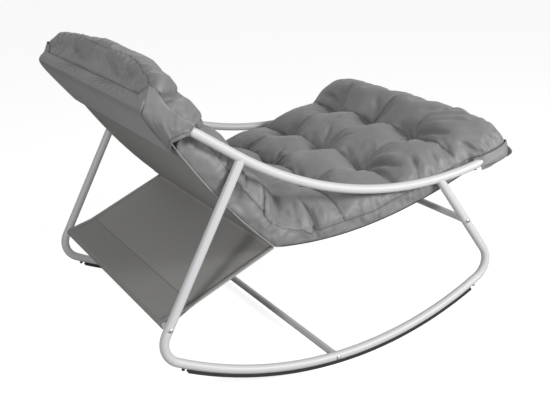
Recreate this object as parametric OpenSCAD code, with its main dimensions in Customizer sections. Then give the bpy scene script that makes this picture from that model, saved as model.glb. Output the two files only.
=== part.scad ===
// Rocking lounge chair: two bent tube side frames, a slung seat and a tufted cushion.
// X runs to the foot end, Y to the sitter's left and Z up. The chair is drawn with the
// lowest point of its rockers under the origin, then leaned to the pose in which it rests.

/* [Frame tubes] */
// Outside diameter of the side frame tube and the seat rail tube
tube_d = 25; // [22:0.5:30]
// Wall of the side frame tube and the seat rail tube
tube_wall = 1.5; // [1.2:0.1:2]
// Distance between the two side frames, centre to centre
frame_w = 870; // [760:5:960]
// Radius of the two bends of a side frame, on the tube's centre line
bend_r = 60; // [50:1:80]

/* [Rockers] */
// Radius of the rocker, on the tube's centre line
rocker_r = 1040; // [980:5:1120]
// Turn of the rocker behind its lowest point
rocker_rear_turn = 24.6; // [22:0.1:27]
// Turn of the rocker in front of its lowest point
rocker_front_turn = 30.8; // [28:0.1:33]
// Lean of the rear legs from upright
rear_leg_lean = 26.4; // [23:0.1:30]
// Lean of the front legs from upright
front_leg_lean = 37; // [34:0.1:40]

/* [Seat rails] */
// Radius of the seat rail, on the tube's centre line
rail_r = 975; // [940:5:1010]
// How far the lowest point of the rail lies in front of the lowest point of the rocker
rail_low_x = 258; // [240:1:276]
// Height of the lowest point of the rail's centre line above the floor
rail_low_z = 487; // [465:1:510]
// Turn of the rail behind its lowest point, where it runs on straight to the head
rail_rear_turn = 32.2; // [31:0.1:34]
// Turn of the rail in front of its lowest point, where it ends
rail_front_turn = 14.8; // [13:0.1:16]
// Length of the rail's straight head end
rail_head_run = 165; // [150:1:180]

/* [Head and foot hoops] */
// Outside diameter of the two hoops that plug into the rails
hoop_d = 21.4; // [18:0.1:21.6]
// Wall of the hoops
hoop_wall = 1.2; // [1:0.1:1.6]
// Radius of the hoops' corners, on the centre line
hoop_corner_r = 45; // [40:1:55]
// How deep a hoop plugs into a rail
hoop_insert = 60; // [45:1:70]
// Reach of the head hoop beyond the ends of the rails
head_reach = 101; // [90:1:120]
// Reach of the foot hoop beyond the ends of the rails
foot_reach = 100; // [90:1:120]

/* [Crossbars] */
// Outside diameter of the three crossbars
bar_d = 20; // [18:0.5:22]
// Wall of the crossbars
bar_wall = 1.5; // [1.2:0.1:2]
// Height of the rear crossbar above the lower end of the rear leg's straight run
rear_bar_up = 18; // [8:1:40]
// How far the low crossbar lies in front of the lowest point of the rocker
low_bar_x = 42; // [30:1:60]
// Distance of the front crossbar from the lower end of the front leg's straight run
front_bar_up = 125; // [110:1:140]

/* [Fasteners] */
// Diameter of the crossbar bolts
bolt_d = 6; // [5:0.5:8]
// Diameter of a bolt head
bolt_head_d = 11.5; // [10:0.5:13]
// Height of a bolt head
bolt_head_h = 3.6; // [3:0.1:5]
// Length of the threaded plug in the end of a crossbar
plug_len = 24; // [20:1:32]
// Diameter of the screws that lock the hoops in the rails
lock_d = 5; // [4:0.5:6]
// Diameter of a lock screw's head
lock_head_d = 9.5; // [8:0.5:11]
// Height of a lock screw's head
lock_head_h = 3.2; // [2.5:0.1:4]

/* [Rocker strips] */
// Thickness of the rubber strip under a rocker
strip_h = 8; // [6:0.5:10]
// Width of the rubber strip
strip_w = 15; // [12:0.5:18]
// Turn from the end of the rocker to the end of its strip
strip_end_turn = 2; // [1.5:0.1:3]
// Diameter of the round stop at each end of a strip
stop_d = 9; // [8:0.5:11]

/* [Sling] */
// Thickness of the woven sling
sling_t = 1.6; // [1.2:0.1:2]
// Distance from the middle of a rail to the edge of the sling
sling_inset = 27; // [24:1:34]
// How far the lowest fold of the sling lies behind the lowest point of the rocker
fold_back = 138; // [128:1:148]
// Height of the lowest fold of the sling above the floor
fold_z = 368; // [355:1:380]
// Slack of the back of the sling
back_sag = 21; // [15:1:28]
// Slack of the seat of the sling
seat_sag = 54; // [46:1:60]
// Length of the seam that joins the rear panel to the sling
seam_len = 22; // [16:1:30]

/* [Cushion] */
// Height of the side seam of the cushion above the sling, at the fold
seam_low = 32; // [28:1:38]
// Height of the side seam half way along the seat and the back
seam_mid = 52; // [46:1:60]
// Height of the side seam where the cushion starts to pass over the rails, near the head
seam_over_rail = 94; // [90:1:104]
// Height of the side seam at the head end
seam_head = 78; // [70:1:86]
// Height of the side seam at the foot end
seam_foot = 42; // [36:1:50]
// Thickness of the seat cushion at the top of a puff
seat_puff = 118; // [105:1:125]
// Thickness of the back cushion at the top of a puff
back_puff = 112; // [100:1:120]
// Thickness of the cushion at the fold
fold_puff = 86; // [78:1:95]
// Thickness of the cushion at a tuft
tuft_h = 54; // [46:1:62]
// Distance between rows of tufts along the seat
seat_pitch = 205; // [198:1:212]
// Distance between rows of tufts up the back
back_pitch = 190; // [182:1:198]
// Distance between the tufts of a row
tuft_pitch = 217; // [208:1:226]
// How far the cushion reaches beyond the hoops
cushion_over = 42; // [34:1:48]
// How far its corners reach beyond the hoops
corner_over = 12; // [8:1:16]

/* [Pockets] */
// Thickness of the pockets at the head and the foot of the cushion
cloth_t = 1.6; // [1.2:0.1:2]
// Slack of a pocket round its hoop
pocket_ease = 4; // [2:0.5:6]
// Depth of the head pocket along the rails
head_pocket_len = 125; // [112:1:132]
// How far the back of the head pocket stands behind the rails at its hem
head_pocket_drop = 66; // [62:1:74]
// Depth of the foot pocket under the hoop
foot_pocket_len = 62; // [54:1:68]
// How far the foot pocket hangs below the hoop at its hem
foot_pocket_drop = 25; // [24:0.5:30]
// Length of the foot pocket's sides, up to the ends of the rails
foot_side_len = 97; // [92:1:99]

/* [Rest] */
// Lean of the empty chair towards its foot end, as it comes to rest
rest_lean = 2.3; // [0:0.1:4]

/* [Hidden] */
$fn = 48;

// Running and seating clearances
seat_gap = 0.3;
hole_gap = 0.25;
weld_gap = 0.2;

// Fine ring that makes one piece of two runs of a bent tube
joint_len = 0.6;
joint_rise = 0.02;

// Heights and places of the rocker's circle
rocker_cz = strip_h + tube_d / 2 + rocker_r;
bend_arm = rocker_r - bend_r;
rear_bend_c = [-bend_arm * sin(rocker_rear_turn), rocker_cz - bend_arm * cos(rocker_rear_turn)];
front_bend_c = [bend_arm * sin(rocker_front_turn), rocker_cz - bend_arm * cos(rocker_front_turn)];
rear_leg_dir = [sin(rear_leg_lean), cos(rear_leg_lean)];
front_leg_dir = [-sin(front_leg_lean), cos(front_leg_lean)];
rocker_rear_end = [0, rocker_cz] + rocker_r * [-sin(rocker_rear_turn), -cos(rocker_rear_turn)];
rocker_front_end = [0, rocker_cz] + rocker_r * [sin(rocker_front_turn), -cos(rocker_front_turn)];
rocker_rear_dir = [cos(rocker_rear_turn), -sin(rocker_rear_turn)];
rocker_front_dir = [cos(rocker_front_turn), sin(rocker_front_turn)];
rear_leg_foot = rear_bend_c + bend_r * [-cos(rear_leg_lean), sin(rear_leg_lean)];
front_leg_foot = front_bend_c + bend_r * [cos(front_leg_lean), sin(front_leg_lean)];

// Places of the rail's circle and ends
rail_c = [rail_low_x, rail_low_z + rail_r];
function rail_at(turn) = rail_c + rail_r * [sin(turn), -cos(turn)];
head_dir = [-cos(rail_rear_turn), sin(rail_rear_turn)];
foot_dir = [cos(rail_front_turn), sin(rail_front_turn)];
head_up = left_of(-head_dir);
foot_up = left_of(foot_dir);
rail_bend_start = rail_at(-rail_rear_turn);
rail_head_end = rail_bend_start + rail_head_run * head_dir;
rail_foot_end = rail_at(rail_front_turn);
head_bar = rail_head_end + head_reach * head_dir;
foot_bar = rail_foot_end + foot_reach * foot_dir;

// A leg runs up its line until it meets the rail's circle
function run_to_rail(p, dir) =
    let (w = p - rail_c, along = w * dir)
    -along - sqrt(along * along - w * w + rail_r * rail_r);
rear_leg_run = run_to_rail(rear_leg_foot, rear_leg_dir);
front_leg_run = run_to_rail(front_leg_foot, front_leg_dir);

// Axes of the crossbars, all on the tubes' centre lines
low_bar_turn = asin(low_bar_x / rocker_r);
rear_bar = rear_leg_foot + rear_bar_up * rear_leg_dir;
low_bar = [low_bar_x, rocker_cz - rocker_r * cos(low_bar_turn)];
front_bar = front_leg_foot + front_bar_up * front_leg_dir;

// Lock screws sit across the rail, over the plugged end of a hoop
head_lock_back = 22;
foot_lock_turn = 0.7;
head_lock = rail_head_end - head_lock_back * head_dir;
foot_lock = rail_at(rail_front_turn - foot_lock_turn);
head_lock_tilt = rail_rear_turn;
foot_lock_tilt = foot_lock_turn - rail_front_turn;

// Sling: two slack runs that meet in a fold
fold = [-fold_back, fold_z];
sling_half = frame_w / 2 - sling_inset;
sling_corner_half = frame_w / 2 - hoop_corner_r - 2;
sleeve_in = hoop_d / 2 + seat_gap;
sleeve_out = sleeve_in + sling_t;
bar_sleeve_in = bar_d / 2 + seat_gap;
bar_sleeve_out = bar_sleeve_in + sling_t;
back_run = head_bar - fold;
seat_run = foot_bar - fold;
back_len = norm(back_run);
seat_len = norm(seat_run);
function slack(a, b, sag, t) =
    let (side = [(b - a)[1], -(b - a)[0]] / norm(b - a))
    a + (b - a) * t + side * (a[0] < b[0] ? 1 : -1) * sag * 4 * t * (1 - t) * (1.175 - 0.35 * t);
function back_at(t) = slack(fold, head_bar, back_sag, t);
function seat_at(t) = slack(fold, foot_bar, seat_sag, t);
back_steps = 12;
seat_steps = 16;
panel_run = rear_bar - fold;
panel_dir = panel_run / norm(panel_run);

function unit(v) = v / norm(v);
function left_of(v) = [-v[1], v[0]];

// Cushion grid
row_share = 6;
cushion_cols = 20;
cushion_half = frame_w / 2 - tube_d / 2 - 2;
fold_clear = 0.35;
fold_blend = 130;
groove_depth = 10;
ledge_rise = 3;
corner_clear = 16;

// Pockets: the seam that joins a pocket to the cushion lies behind and above its hoop
pocket_in = sleeve_out + seat_gap;
pocket_out = pocket_in + cloth_t + pocket_ease;
pocket_half = frame_w / 2 + tube_d / 2 + seat_gap + cloth_t;
pocket_seam = [-12, 27];
wide_half = pocket_half - cloth_t - 2 * seat_gap;

// The whole chair leans about the middle of the rocker's circle, so the rockers still
// touch the floor, and then moves so that the origin is under the middle of its length
lean_sin = sin(rest_lean);
lean_cos = cos(rest_lean);
function leaned(p) = [
    p[0] * lean_cos + (p[1] - rocker_cz) * lean_sin,
    rocker_cz - p[0] * lean_sin + (p[1] - rocker_cz) * lean_cos
];
rear_most = leaned(head_bar)[0] - pocket_out;
seat_end_dir = run_dir("seat", seat_len);
seat_end_base = seam_over(foot_dir, foot_up, left_of(seat_end_dir)) + seat_gap;
seat_tip = foot_bar + seat_end_dir * cushion_over + left_of(seat_end_dir) * seat_end_base;
front_most = leaned(seat_tip)[0];
origin_x = (rear_most + front_most) / 2;

module at_rest() {
    translate([-origin_x, 0, rocker_cz])
        rotate([0, rest_lean, 0])
            translate([0, 0, -rocker_cz])
                children();
}

// A round section, hollow or solid
module ring(d, wall) {
    difference() {
        circle(d = d);
        if (wall > 0) circle(d = d - 2 * wall);
    }
}

// A straight tube from p along dir, in the plane of a side frame
module straight(p, dir, len, d, wall) {
    translate([p[0], 0, p[1]])
        rotate([0, atan2(dir[0], dir[1]), 0])
            linear_extrude(len)
                ring(d, wall);
}

// A bent tube about centre c, from one angle to another, in the plane of a side frame
module bend(c, r, from, to, d, wall) {
    translate([c[0], 0, c[1]])
        rotate([90, 0, 0])
            rotate([0, 0, from])
                rotate_extrude(angle = to - from, $fn = 96)
                    translate([r, 0])
                        ring(d, wall);
}

// A cylinder across the chair
module across(p, d, len) {
    translate([p[0], 0, p[1]])
        rotate([90, 0, 0])
            cylinder(d = d, h = len, center = true);
}

// The place where two runs of a bent tube meet. Its circle starts on the same side as theirs
module joint(p, dir, d, wall) {
    straight(p - joint_len / 2 * dir, dir, joint_len, d + 2 * joint_rise,
        wall > 0 ? wall + 2 * joint_rise : 0);
}

// Line of the seat rail, as a tube or as the cut that seats on it
module rail_line(d, wall) {
    bend(rail_c, rail_r, -90 - rail_rear_turn, -90 + rail_front_turn, d, wall);
    joint(rail_bend_start, -head_dir, d, wall);
    straight(rail_head_end, -head_dir, rail_head_run, d, wall);
}

// Line of a side frame: rocker, two bends and two legs
module rocker_line(d, wall) {
    bend([0, rocker_cz], rocker_r, -90 - rocker_rear_turn, -90 + rocker_front_turn, d, wall);
    joint(rocker_rear_end, rocker_rear_dir, d, wall);
    bend(rear_bend_c, bend_r, -180 - rear_leg_lean, -90 - rocker_rear_turn, d, wall);
    joint(rear_leg_foot, -rear_leg_dir, d, wall);
    straight(rear_leg_foot + rear_leg_run * rear_leg_dir, -rear_leg_dir, rear_leg_run, d, wall);
    joint(rocker_front_end, rocker_front_dir, d, wall);
    bend(front_bend_c, bend_r, -90 + rocker_front_turn, front_leg_lean, d, wall);
    joint(front_leg_foot, front_leg_dir, d, wall);
    straight(front_leg_foot, front_leg_dir, front_leg_run, d, wall);
}

// Side frame tube, coped under the rail and drilled for the crossbar bolts
module rocker_tube() {
    color("white")
    difference() {
        rocker_line(tube_d, tube_wall);
        rail_line(tube_d + 2 * weld_gap, 0);
        across(rear_bar, bolt_d + 2 * hole_gap, 2 * tube_d);
        across(low_bar, bolt_d + 2 * hole_gap, 2 * tube_d);
        across(front_bar, bolt_d + 2 * hole_gap, 2 * tube_d);
    }
}

// A lock screw's line through the underside of a rail
module lock_line(p, tilt, d) {
    translate([p[0], 0, p[1]])
        rotate([0, tilt, 0])
            translate([0, 0, -tube_d])
                cylinder(d = d, h = tube_d);
}

// Seat rail with its lock screw holes
module seat_rail() {
    color("white")
    difference() {
        rail_line(tube_d, tube_wall);
        lock_line(head_lock, head_lock_tilt, lock_d + 2 * hole_gap);
        lock_line(foot_lock, foot_lock_tilt, lock_d + 2 * hole_gap);
    }
}

// Hoop drawn flat: its bar lies at reach beyond the rails' ends, its arms run back past them
module hoop_flat(reach, insert) {
    half = frame_w / 2;
    bar_half = half - hoop_corner_r;
    translate([reach, bar_half, 0])
        rotate([90, 0, 0])
            linear_extrude(2 * bar_half)
                ring(hoop_d, hoop_wall);
    for (side = [-1, 1]) {
        translate([-insert, side * half, 0])
            rotate([0, 90, 0])
                linear_extrude(insert + reach - hoop_corner_r)
                    ring(hoop_d, hoop_wall);
        translate([reach - hoop_corner_r, side * bar_half, 0])
            rotate([0, 0, side > 0 ? 0 : -90])
                rotate_extrude(angle = 90)
                    translate([hoop_corner_r, 0])
                        ring(hoop_d, hoop_wall);
    }
}

module head_hoop() {
    color("white")
    difference() {
        translate([rail_head_end[0], 0, rail_head_end[1]])
            rotate([0, 180 + rail_rear_turn, 0])
                hoop_flat(head_reach, hoop_insert);
        for (side = [-1, 1])
            translate([0, side * frame_w / 2, 0])
                lock_line(head_lock, head_lock_tilt, lock_d);
    }
}

module foot_hoop() {
    color("white")
    difference() {
        union() {
            translate([rail_foot_end[0], 0, rail_foot_end[1]])
                rotate([0, -rail_front_turn, 0])
                    hoop_flat(foot_reach, 0);
            for (side = [-1, 1])
                translate([0, side * frame_w / 2, 0]) {
                    joint(rail_foot_end, foot_dir, hoop_d, hoop_wall);
                    bend(rail_c, rail_r, -90 + rail_front_turn - hoop_insert / rail_r * 180 / PI,
                        -90 + rail_front_turn, hoop_d, hoop_wall);
                }
        }
        for (side = [-1, 1])
            translate([0, side * frame_w / 2, 0])
                lock_line(foot_lock, foot_lock_tilt, lock_d);
    }
}

// Crossbar between the side frames, its ends coped round the tubes that it meets
module crossbar(p) {
    translate([p[0], frame_w / 2, p[1]])
        rotate([90, 0, 0])
            linear_extrude(frame_w)
                ring(bar_d, bar_wall);
}

module leg_cope(p, dir) {
    for (side = [-1, 1])
        translate([0, side * frame_w / 2, 0])
            straight(p - 60 * dir, dir, 120, tube_d + 2 * seat_gap, 0);
}

module rear_crossbar() {
    color("white")
    difference() {
        crossbar(rear_bar);
        leg_cope(rear_bar, rear_leg_dir);
    }
}

module low_crossbar() {
    color("white")
    difference() {
        crossbar(low_bar);
        for (side = [-1, 1])
            translate([0, side * frame_w / 2, 0])
                bend([0, rocker_cz], rocker_r, -90 + low_bar_turn - 3, -90 + low_bar_turn + 3,
                    tube_d + 2 * seat_gap, 0);
    }
}

module front_crossbar() {
    color("white")
    difference() {
        crossbar(front_bar);
        leg_cope(front_bar, front_leg_dir);
    }
}

// Threaded plugs inside the ends of a crossbar
module bar_plugs(p) {
    plug_d = bar_d - 2 * bar_wall - 2 * 0.05;
    plug_end = frame_w / 2 - tube_d / 2 - seat_gap;
    color("dimgray")
    for (side = [-1, 1])
        translate([p[0], side * (plug_end - plug_len / 2), p[1]])
            rotate([90, 0, 0])
                difference() {
                    cylinder(d = plug_d, h = plug_len, center = true);
                    cylinder(d = bolt_d, h = 2 * plug_len, center = true);
                }
}

// Button headed bolts through the side frame tube into the plugs
module bar_bolts(p) {
    seat_y = frame_w / 2 + tube_d / 2 + seat_gap;
    shank = tube_d + 2 * seat_gap + plug_len * 0.75;
    color("silver")
    for (side = [-1, 1])
        translate([p[0], side * seat_y, p[1]])
            rotate([side > 0 ? -90 : 90, 0, 0])
                difference() {
                    union() {
                        intersection() {
                            cylinder(d = bolt_head_d, h = bolt_head_h);
                            translate([0, 0, bolt_head_h - bolt_head_d * 0.75])
                                sphere(d = bolt_head_d * 1.5);
                        }
                        translate([0, 0, -shank])
                            cylinder(d = bolt_d - 0.1, h = shank + 1);
                    }
                    translate([0, 0, bolt_head_h * 0.4])
                        cylinder(d = bolt_d * 0.75, h = bolt_head_h, $fn = 6);
                }
}

// Pan headed screws up through the rails into the hoops
module lock_screws(p, tilt, tint) {
    reach = tube_d / 2 + seat_gap;
    color(tint)
    for (side = [-1, 1])
        translate([p[0], side * frame_w / 2, p[1]])
            rotate([0, tilt, 0]) {
                translate([0, 0, -reach - lock_head_h])
                    intersection() {
                        cylinder(d = lock_head_d, h = lock_head_h);
                        translate([0, 0, lock_head_d * 0.7])
                            sphere(d = lock_head_d * 1.4);
                    }
                translate([0, 0, -reach])
                    cylinder(d = lock_d - 0.1, h = reach - hoop_d / 2 + hoop_wall + 3);
            }
}

// Rubber strip under a rocker, hollowed on top to sit against the tube
module rocker_strip() {
    bottom_r = rocker_r + tube_d / 2 + strip_h;
    color([0.12, 0.12, 0.12])
    translate([0, 0, rocker_cz])
        rotate([90, 0, 0])
            rotate([0, 0, -90 - rocker_rear_turn + strip_end_turn])
                rotate_extrude(angle = rocker_rear_turn + rocker_front_turn - 2 * strip_end_turn,
                    $fn = 180)
                    difference() {
                        translate([rocker_r + tube_d / 4, -strip_w / 2])
                            square([bottom_r - rocker_r - tube_d / 4, strip_w]);
                        translate([rocker_r, 0])
                            circle(d = tube_d + 2 * seat_gap);
                    }
}

// Round rubber stops just past the ends of the strips
module strip_stops(turn) {
    stop_h = strip_h - 1;
    color([0.12, 0.12, 0.12])
    for (side = [-1, 1])
        translate([0, side * frame_w / 2, rocker_cz])
            rotate([0, -turn, 0])
                translate([0, 0, -rocker_r - tube_d / 2 - stop_h])
                    difference() {
                        union() {
                            intersection() {
                                cylinder(d = stop_d, h = stop_h + 2);
                                translate([0, 0, stop_d * 0.6])
                                    sphere(d = stop_d * 1.2);
                            }
                            translate([0, 0, stop_h / 2])
                                cylinder(d = stop_d, h = stop_h / 2 + 2);
                        }
                        translate([0, 0, stop_h + tube_d / 2])
                            rotate([0, 90, 0])
                                cylinder(d = tube_d + 2 * seat_gap, h = 4 * stop_d, center = true);
                    }
}

// A band of cloth along a line of points, as a section in the plane of a side frame
module band_section(points, t) {
    last = len(points) - 1;
    dirs = [for (i = [0:last]) unit(points[min(i + 1, last)] - points[max(i - 1, 0)])];
    polygon(concat(
        [for (i = [0:last]) points[i] + left_of(dirs[i]) * t / 2],
        [for (i = [last:-1:0]) points[i] - left_of(dirs[i]) * t / 2]
    ));
}

// A section drawn in X and Z, made as wide as the given half width on each side
module widen(half) {
    rotate([90, 0, 0])
        linear_extrude(2 * half, center = true)
            children();
}

// Sling with a sleeve round each hoop, cut back at the hoops' bent corners
module seat_sling() {
    back_points = [for (i = [back_steps:-1:1]) back_at(i / back_steps)];
    seat_points = [for (i = [1:seat_steps]) seat_at(i / seat_steps)];
    corner_len = hoop_corner_r + 14;
    color([0.42, 0.42, 0.4])
    difference() {
        union() {
            widen(sling_half) band_section(concat(back_points, [fold], seat_points), sling_t);
            across(head_bar, 2 * sleeve_out, 2 * sling_half);
            across(foot_bar, 2 * sleeve_out, 2 * sling_half);
        }
        across(head_bar, 2 * sleeve_in, frame_w);
        across(foot_bar, 2 * sleeve_in, frame_w);
        for (side = [-1, 1]) {
            translate([head_bar[0], side * (sling_corner_half + 50), head_bar[1]])
                rotate([0, rail_rear_turn, 0])
                    cube([2 * corner_len, 100, 160], center = true);
            translate([foot_bar[0], side * (sling_corner_half + 50), foot_bar[1]])
                rotate([0, -rail_front_turn, 0])
                    cube([2 * corner_len, 100, 160], center = true);
        }
    }
}

// Panel that pulls the fold of the sling back to the rear crossbar
module rear_panel() {
    back_dir = unit(back_at(1 / back_steps) - fold);
    behind = left_of(back_dir);
    top = fold + behind * (sling_t + seat_gap);
    color([0.42, 0.42, 0.4])
    difference() {
        union() {
            widen(sling_half) band_section([top + back_dir * seam_len, top], sling_t);
            widen(sling_half)
                band_section([top + back_dir * sling_t / 2, rear_bar], sling_t);
            across(rear_bar, 2 * bar_sleeve_out, 2 * sling_half);
        }
        across(rear_bar, 2 * bar_sleeve_in, frame_w);
    }
}

// Distance from the nearest tuft or seam, counted in pitches
function off_grid(x) = abs(x - round(x));
function ease(x) = let (c = max(0, min(1, x))) c * c * (3 - 2 * c);

// Runs of the sling, carried on straight beyond the hoops: d is the length from the fold
function run_point(kind, d) =
    kind == "seat"
        ? (d <= seat_len
            ? seat_at(d / seat_len)
            : foot_bar + unit(seat_at(1) - seat_at(0.97)) * (d - seat_len))
        : (d <= back_len
            ? back_at(d / back_len)
            : head_bar + unit(back_at(1) - back_at(0.97)) * (d - back_len));
function run_dir(kind, d) = unit(run_point(kind, d + 4) - run_point(kind, max(0, d - 4)));

// Height of the side seam above the sling
function seam_h(kind, d) =
    kind == "back"
        ? lookup(d / back_len, [
            [0, seam_low], [0.35, seam_mid], [0.6, seam_mid + 10],
            [0.74, seam_over_rail], [0.86, seam_over_rail], [1, seam_head]
        ])
        : lookup(d / seat_len, [[0, seam_low], [0.35, seam_mid], [0.7, seam_mid], [1, seam_foot]]);

// Thickness of the cushion at length d and place y across it
function cushion_top(kind, d, y, len, pitch, puff) =
    let (
        v = min(1, abs(y) / cushion_half),
        last = len + cushion_over,
        s = d / pitch,
        c = y / tuft_pitch,
        edge = seam_h(kind, min(d, len)),
        to_end = min(1, (last - d) / (0.42 * pitch)),
        side_round = sqrt(max(0, 1 - pow(v, 5))),
        end_round = sqrt(max(0, 1 - pow(1 - to_end, 2.6))),
        body = fold_puff + (puff - fold_puff) * ease(d / (0.5 * pitch)),
        crown = edge + (body - edge) * side_round * (0.25 + 0.75 * end_round),
        row = d > 0.5 * pitch && d < last - 0.5 * pitch ? 1 : 0,
        col = v < 0.75 ? 1 : 0,
        dr = off_grid(s),
        dc = off_grid(c),
        pinch = row * col * exp(-(dr * dr + dc * dc) / 0.035),
        grooves = max(row * exp(-pow(dr / 0.13, 2)), col * exp(-pow(dc / 0.11, 2))),
        dip = groove_depth * grooves * side_round * end_round
    )
    crown - max(dip, (crown - tuft_h) * pinch);

// Clearance of the cushion's underside from the sling's centre line
function cushion_base(d, len, end_base) =
    d > len + 1 ? end_base
        : d > len - 1 ? sleeve_out + 4 * fold_clear
        : sling_t / 2 + fold_clear + 3 * ease((d - len + 50) / 50);

// One closed section of the cushion: loops round it at each row, joined from row to row.
// rail_h gives the height of the rail above the sling, where the cushion passes over it
module cushion_section(kind, len, pitch, puff, end_base, side, wide_from) {
    step = pitch / row_share;
    full = floor((len - 0.4 * step) / step);
    ds = concat(
        [for (k = [0:full]) k * step],
        [len, len + cushion_over / 2, len + cushion_over]
    );
    rows = len(ds) - 1;
    n = cushion_cols;
    cot = 1 / tan(fold_half);
    loops = [for (d = ds)
        let (
            past = max(0, d - len),
            flat_d = min(d, len),
            wide = ease((d - wide_from) / 45),
            half = cushion_half + (wide_half - cushion_half) * wide,
            under = kind == "back" ? over_rail(flat_d) : 0,
            lean = ease(1 - d / fold_blend),
            base_h = cushion_base(d, len, end_base),
            seam = cushion_top(kind, d, cushion_half, len, pitch, puff),
            draw = 1 - 0.014 * pow(cos(180 * d / pitch), 2) * (1 - wide),
            shelf = d > wide_from - 2 * step ? min(seam - 2 * ledge_rise, under) : seam * 0.6,
            inner = cushion_half - corner_clear * ease((d - len + 60) / 50),
            row_at = function (y, h)
                let (
                    v = min(1, abs(y) / cushion_half),
                    reach = corner_over + (cushion_over - corner_over) * (1 - pow(v, 3)),
                    dd = flat_d + past * reach / cushion_over + h * cot * lean + seat_gap * lean,
                    p = run_point(kind, flat_d),
                    t = run_dir(kind, flat_d),
                    u = left_of(t) * side,
                    q = p + t * (dd - flat_d) + u * h
                )
                [q[0], y, q[1]],
            top_row = [for (j = [0:n])
                let (v = 2 * j / n - 1)
                row_at(v * half * draw, cushion_top(kind, d, v * cushion_half, len, pitch, puff))],
            base_row = [for (j = [n:-1:0])
                let (v = 2 * j / n - 1)
                row_at(v * inner * 0.965, base_h)]
        )
        concat(
            top_row,
            [row_at(half * draw, shelf + ledge_rise), row_at(inner * draw, shelf)],
            base_row,
            [row_at(-inner * draw, shelf), row_at(-half * draw, shelf + ledge_rise)]
        )];
    m = 2 * n + 6;
    walls = [for (i = [0:rows - 1]) for (j = [0:m - 1])
        let (k = (j + 1) % m)
        each [
            [i * m + j, (i + 1) * m + j, (i + 1) * m + k],
            [i * m + j, (i + 1) * m + k, i * m + k]
        ]];
    cap = concat(
        [for (j = [0:n - 1]) each [[j, j + 1, 2 * n + 3 - j], [j + 1, 2 * n + 2 - j, 2 * n + 3 - j]]],
        [[n, n + 1, n + 3], [n + 1, n + 2, n + 3]],
        [[0, 2 * n + 3, 2 * n + 5], [2 * n + 3, 2 * n + 4, 2 * n + 5]]
    );
    caps = concat(
        cap,
        [for (f = cap) [f[0] + rows * m, f[2] + rows * m, f[1] + rows * m]]
    );
    faces = [for (f = concat(walls, caps)) side > 0 ? [f[0], f[2], f[1]] : f];
    polyhedron(points = [for (l = loops) each l], faces = faces);
}

// The two sections meet on the line that halves the angle at the fold
fold_half = acos(run_dir("seat", 0) * run_dir("back", 0)) / 2;

// Height above the sling at which the cushion clears the top of the rails, at the head
function over_rail(d) =
    let (
        p = run_point("back", d),
        u = -left_of(run_dir("back", d)),
        w = head_bar - p,
        cross_w = w[0] * head_dir[1] - w[1] * head_dir[0],
        cross_u = u[0] * head_dir[1] - u[1] * head_dir[0]
    )
    cross_w / cross_u + (tube_d / 2 + 3 * seat_gap) / abs(cross_u);

// Height of a pocket's seam above the line of the sling
function seam_over(out, up, u) = (up * pocket_seam[1] - out * pocket_seam[0]) * u;

module cushion_seat() {
    color([0.5, 0.5, 0.5])
    cushion_section("seat", seat_len, seat_pitch, seat_puff, seat_end_base, 1, 2 * seat_len);
}

module cushion_back() {
    u = -left_of(run_dir("back", back_len));
    end_base = seam_over(head_dir, head_up, u) + seat_gap;
    color([0.5, 0.5, 0.5])
    cushion_section("back", back_len, back_pitch, back_puff, end_base, -1,
        back_len - head_pocket_len - 15);
}

// A point beside a hoop: b back from its bar along the rails and q above them
function beside(bar, out, up, p) = bar - out * p[0] + up * p[1];

// Outline of a pocket behind or under its hoop: from its seam, round the bar, to its hem
function pocket_path(r, hem) =
    let (
        reach = norm(hem),
        last = 360 + atan2(hem[1], hem[0]) - acos(r / reach),
        first = 150,
        steps = 6
    )
    concat(
        [pocket_seam + [r - pocket_out, 0]],
        [for (i = [0:steps]) let (a = first + (last - first) * i / steps) r * [cos(a), sin(a)]],
        [hem + [0, pocket_out - r]]
    );

// A sewn pocket with a closed back and sides, open at its hem and towards the cushion
module pocket(bar, out, up, hem, edge, half) {
    outer = [for (p = concat(pocket_path(pocket_out, hem), edge)) beside(bar, out, up, p)];
    inner_path = pocket_path(pocket_out - cloth_t, hem);
    inner = [for (p = concat(
            inner_path,
            [hem + [80, cloth_t], [hem[0] + 80, 160], [-40, 160], pocket_seam + [-cloth_t, 20]]
        )) beside(bar, out, up, p)];
    difference() {
        widen(half) polygon(outer);
        widen(half - cloth_t) polygon(inner);
    }
}

module head_pocket() {
    rail_out = head_pocket_len - 7;
    seam = seam_head - pocket_ease;
    color([0.45, 0.45, 0.45])
    pocket(head_bar, head_dir, head_up, [head_pocket_len, -head_pocket_drop], [
        [rail_out, -tube_d / 2 - 3],
        [rail_out + 3, seam * 0.55],
        [rail_out * 0.7, seam * 0.6],
        [rail_out * 0.4, seam * 0.8],
        [rail_out * 0.2, seam]
    ], pocket_half);
}

module foot_pocket() {
    color([0.45, 0.45, 0.45])
    pocket(foot_bar, foot_dir, foot_up, [foot_pocket_len, -foot_pocket_drop], [
        [foot_side_len, -hoop_d / 2 - 8],
        [foot_side_len - 3, -4],
        [5, pocket_seam[1] + 1]
    ], frame_w / 2 + hoop_d / 2 + seat_gap + cloth_t);
}

module right() {
    translate([0, -frame_w / 2, 0]) children();
}

module left() {
    translate([0, frame_w / 2, 0]) children();
}

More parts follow.
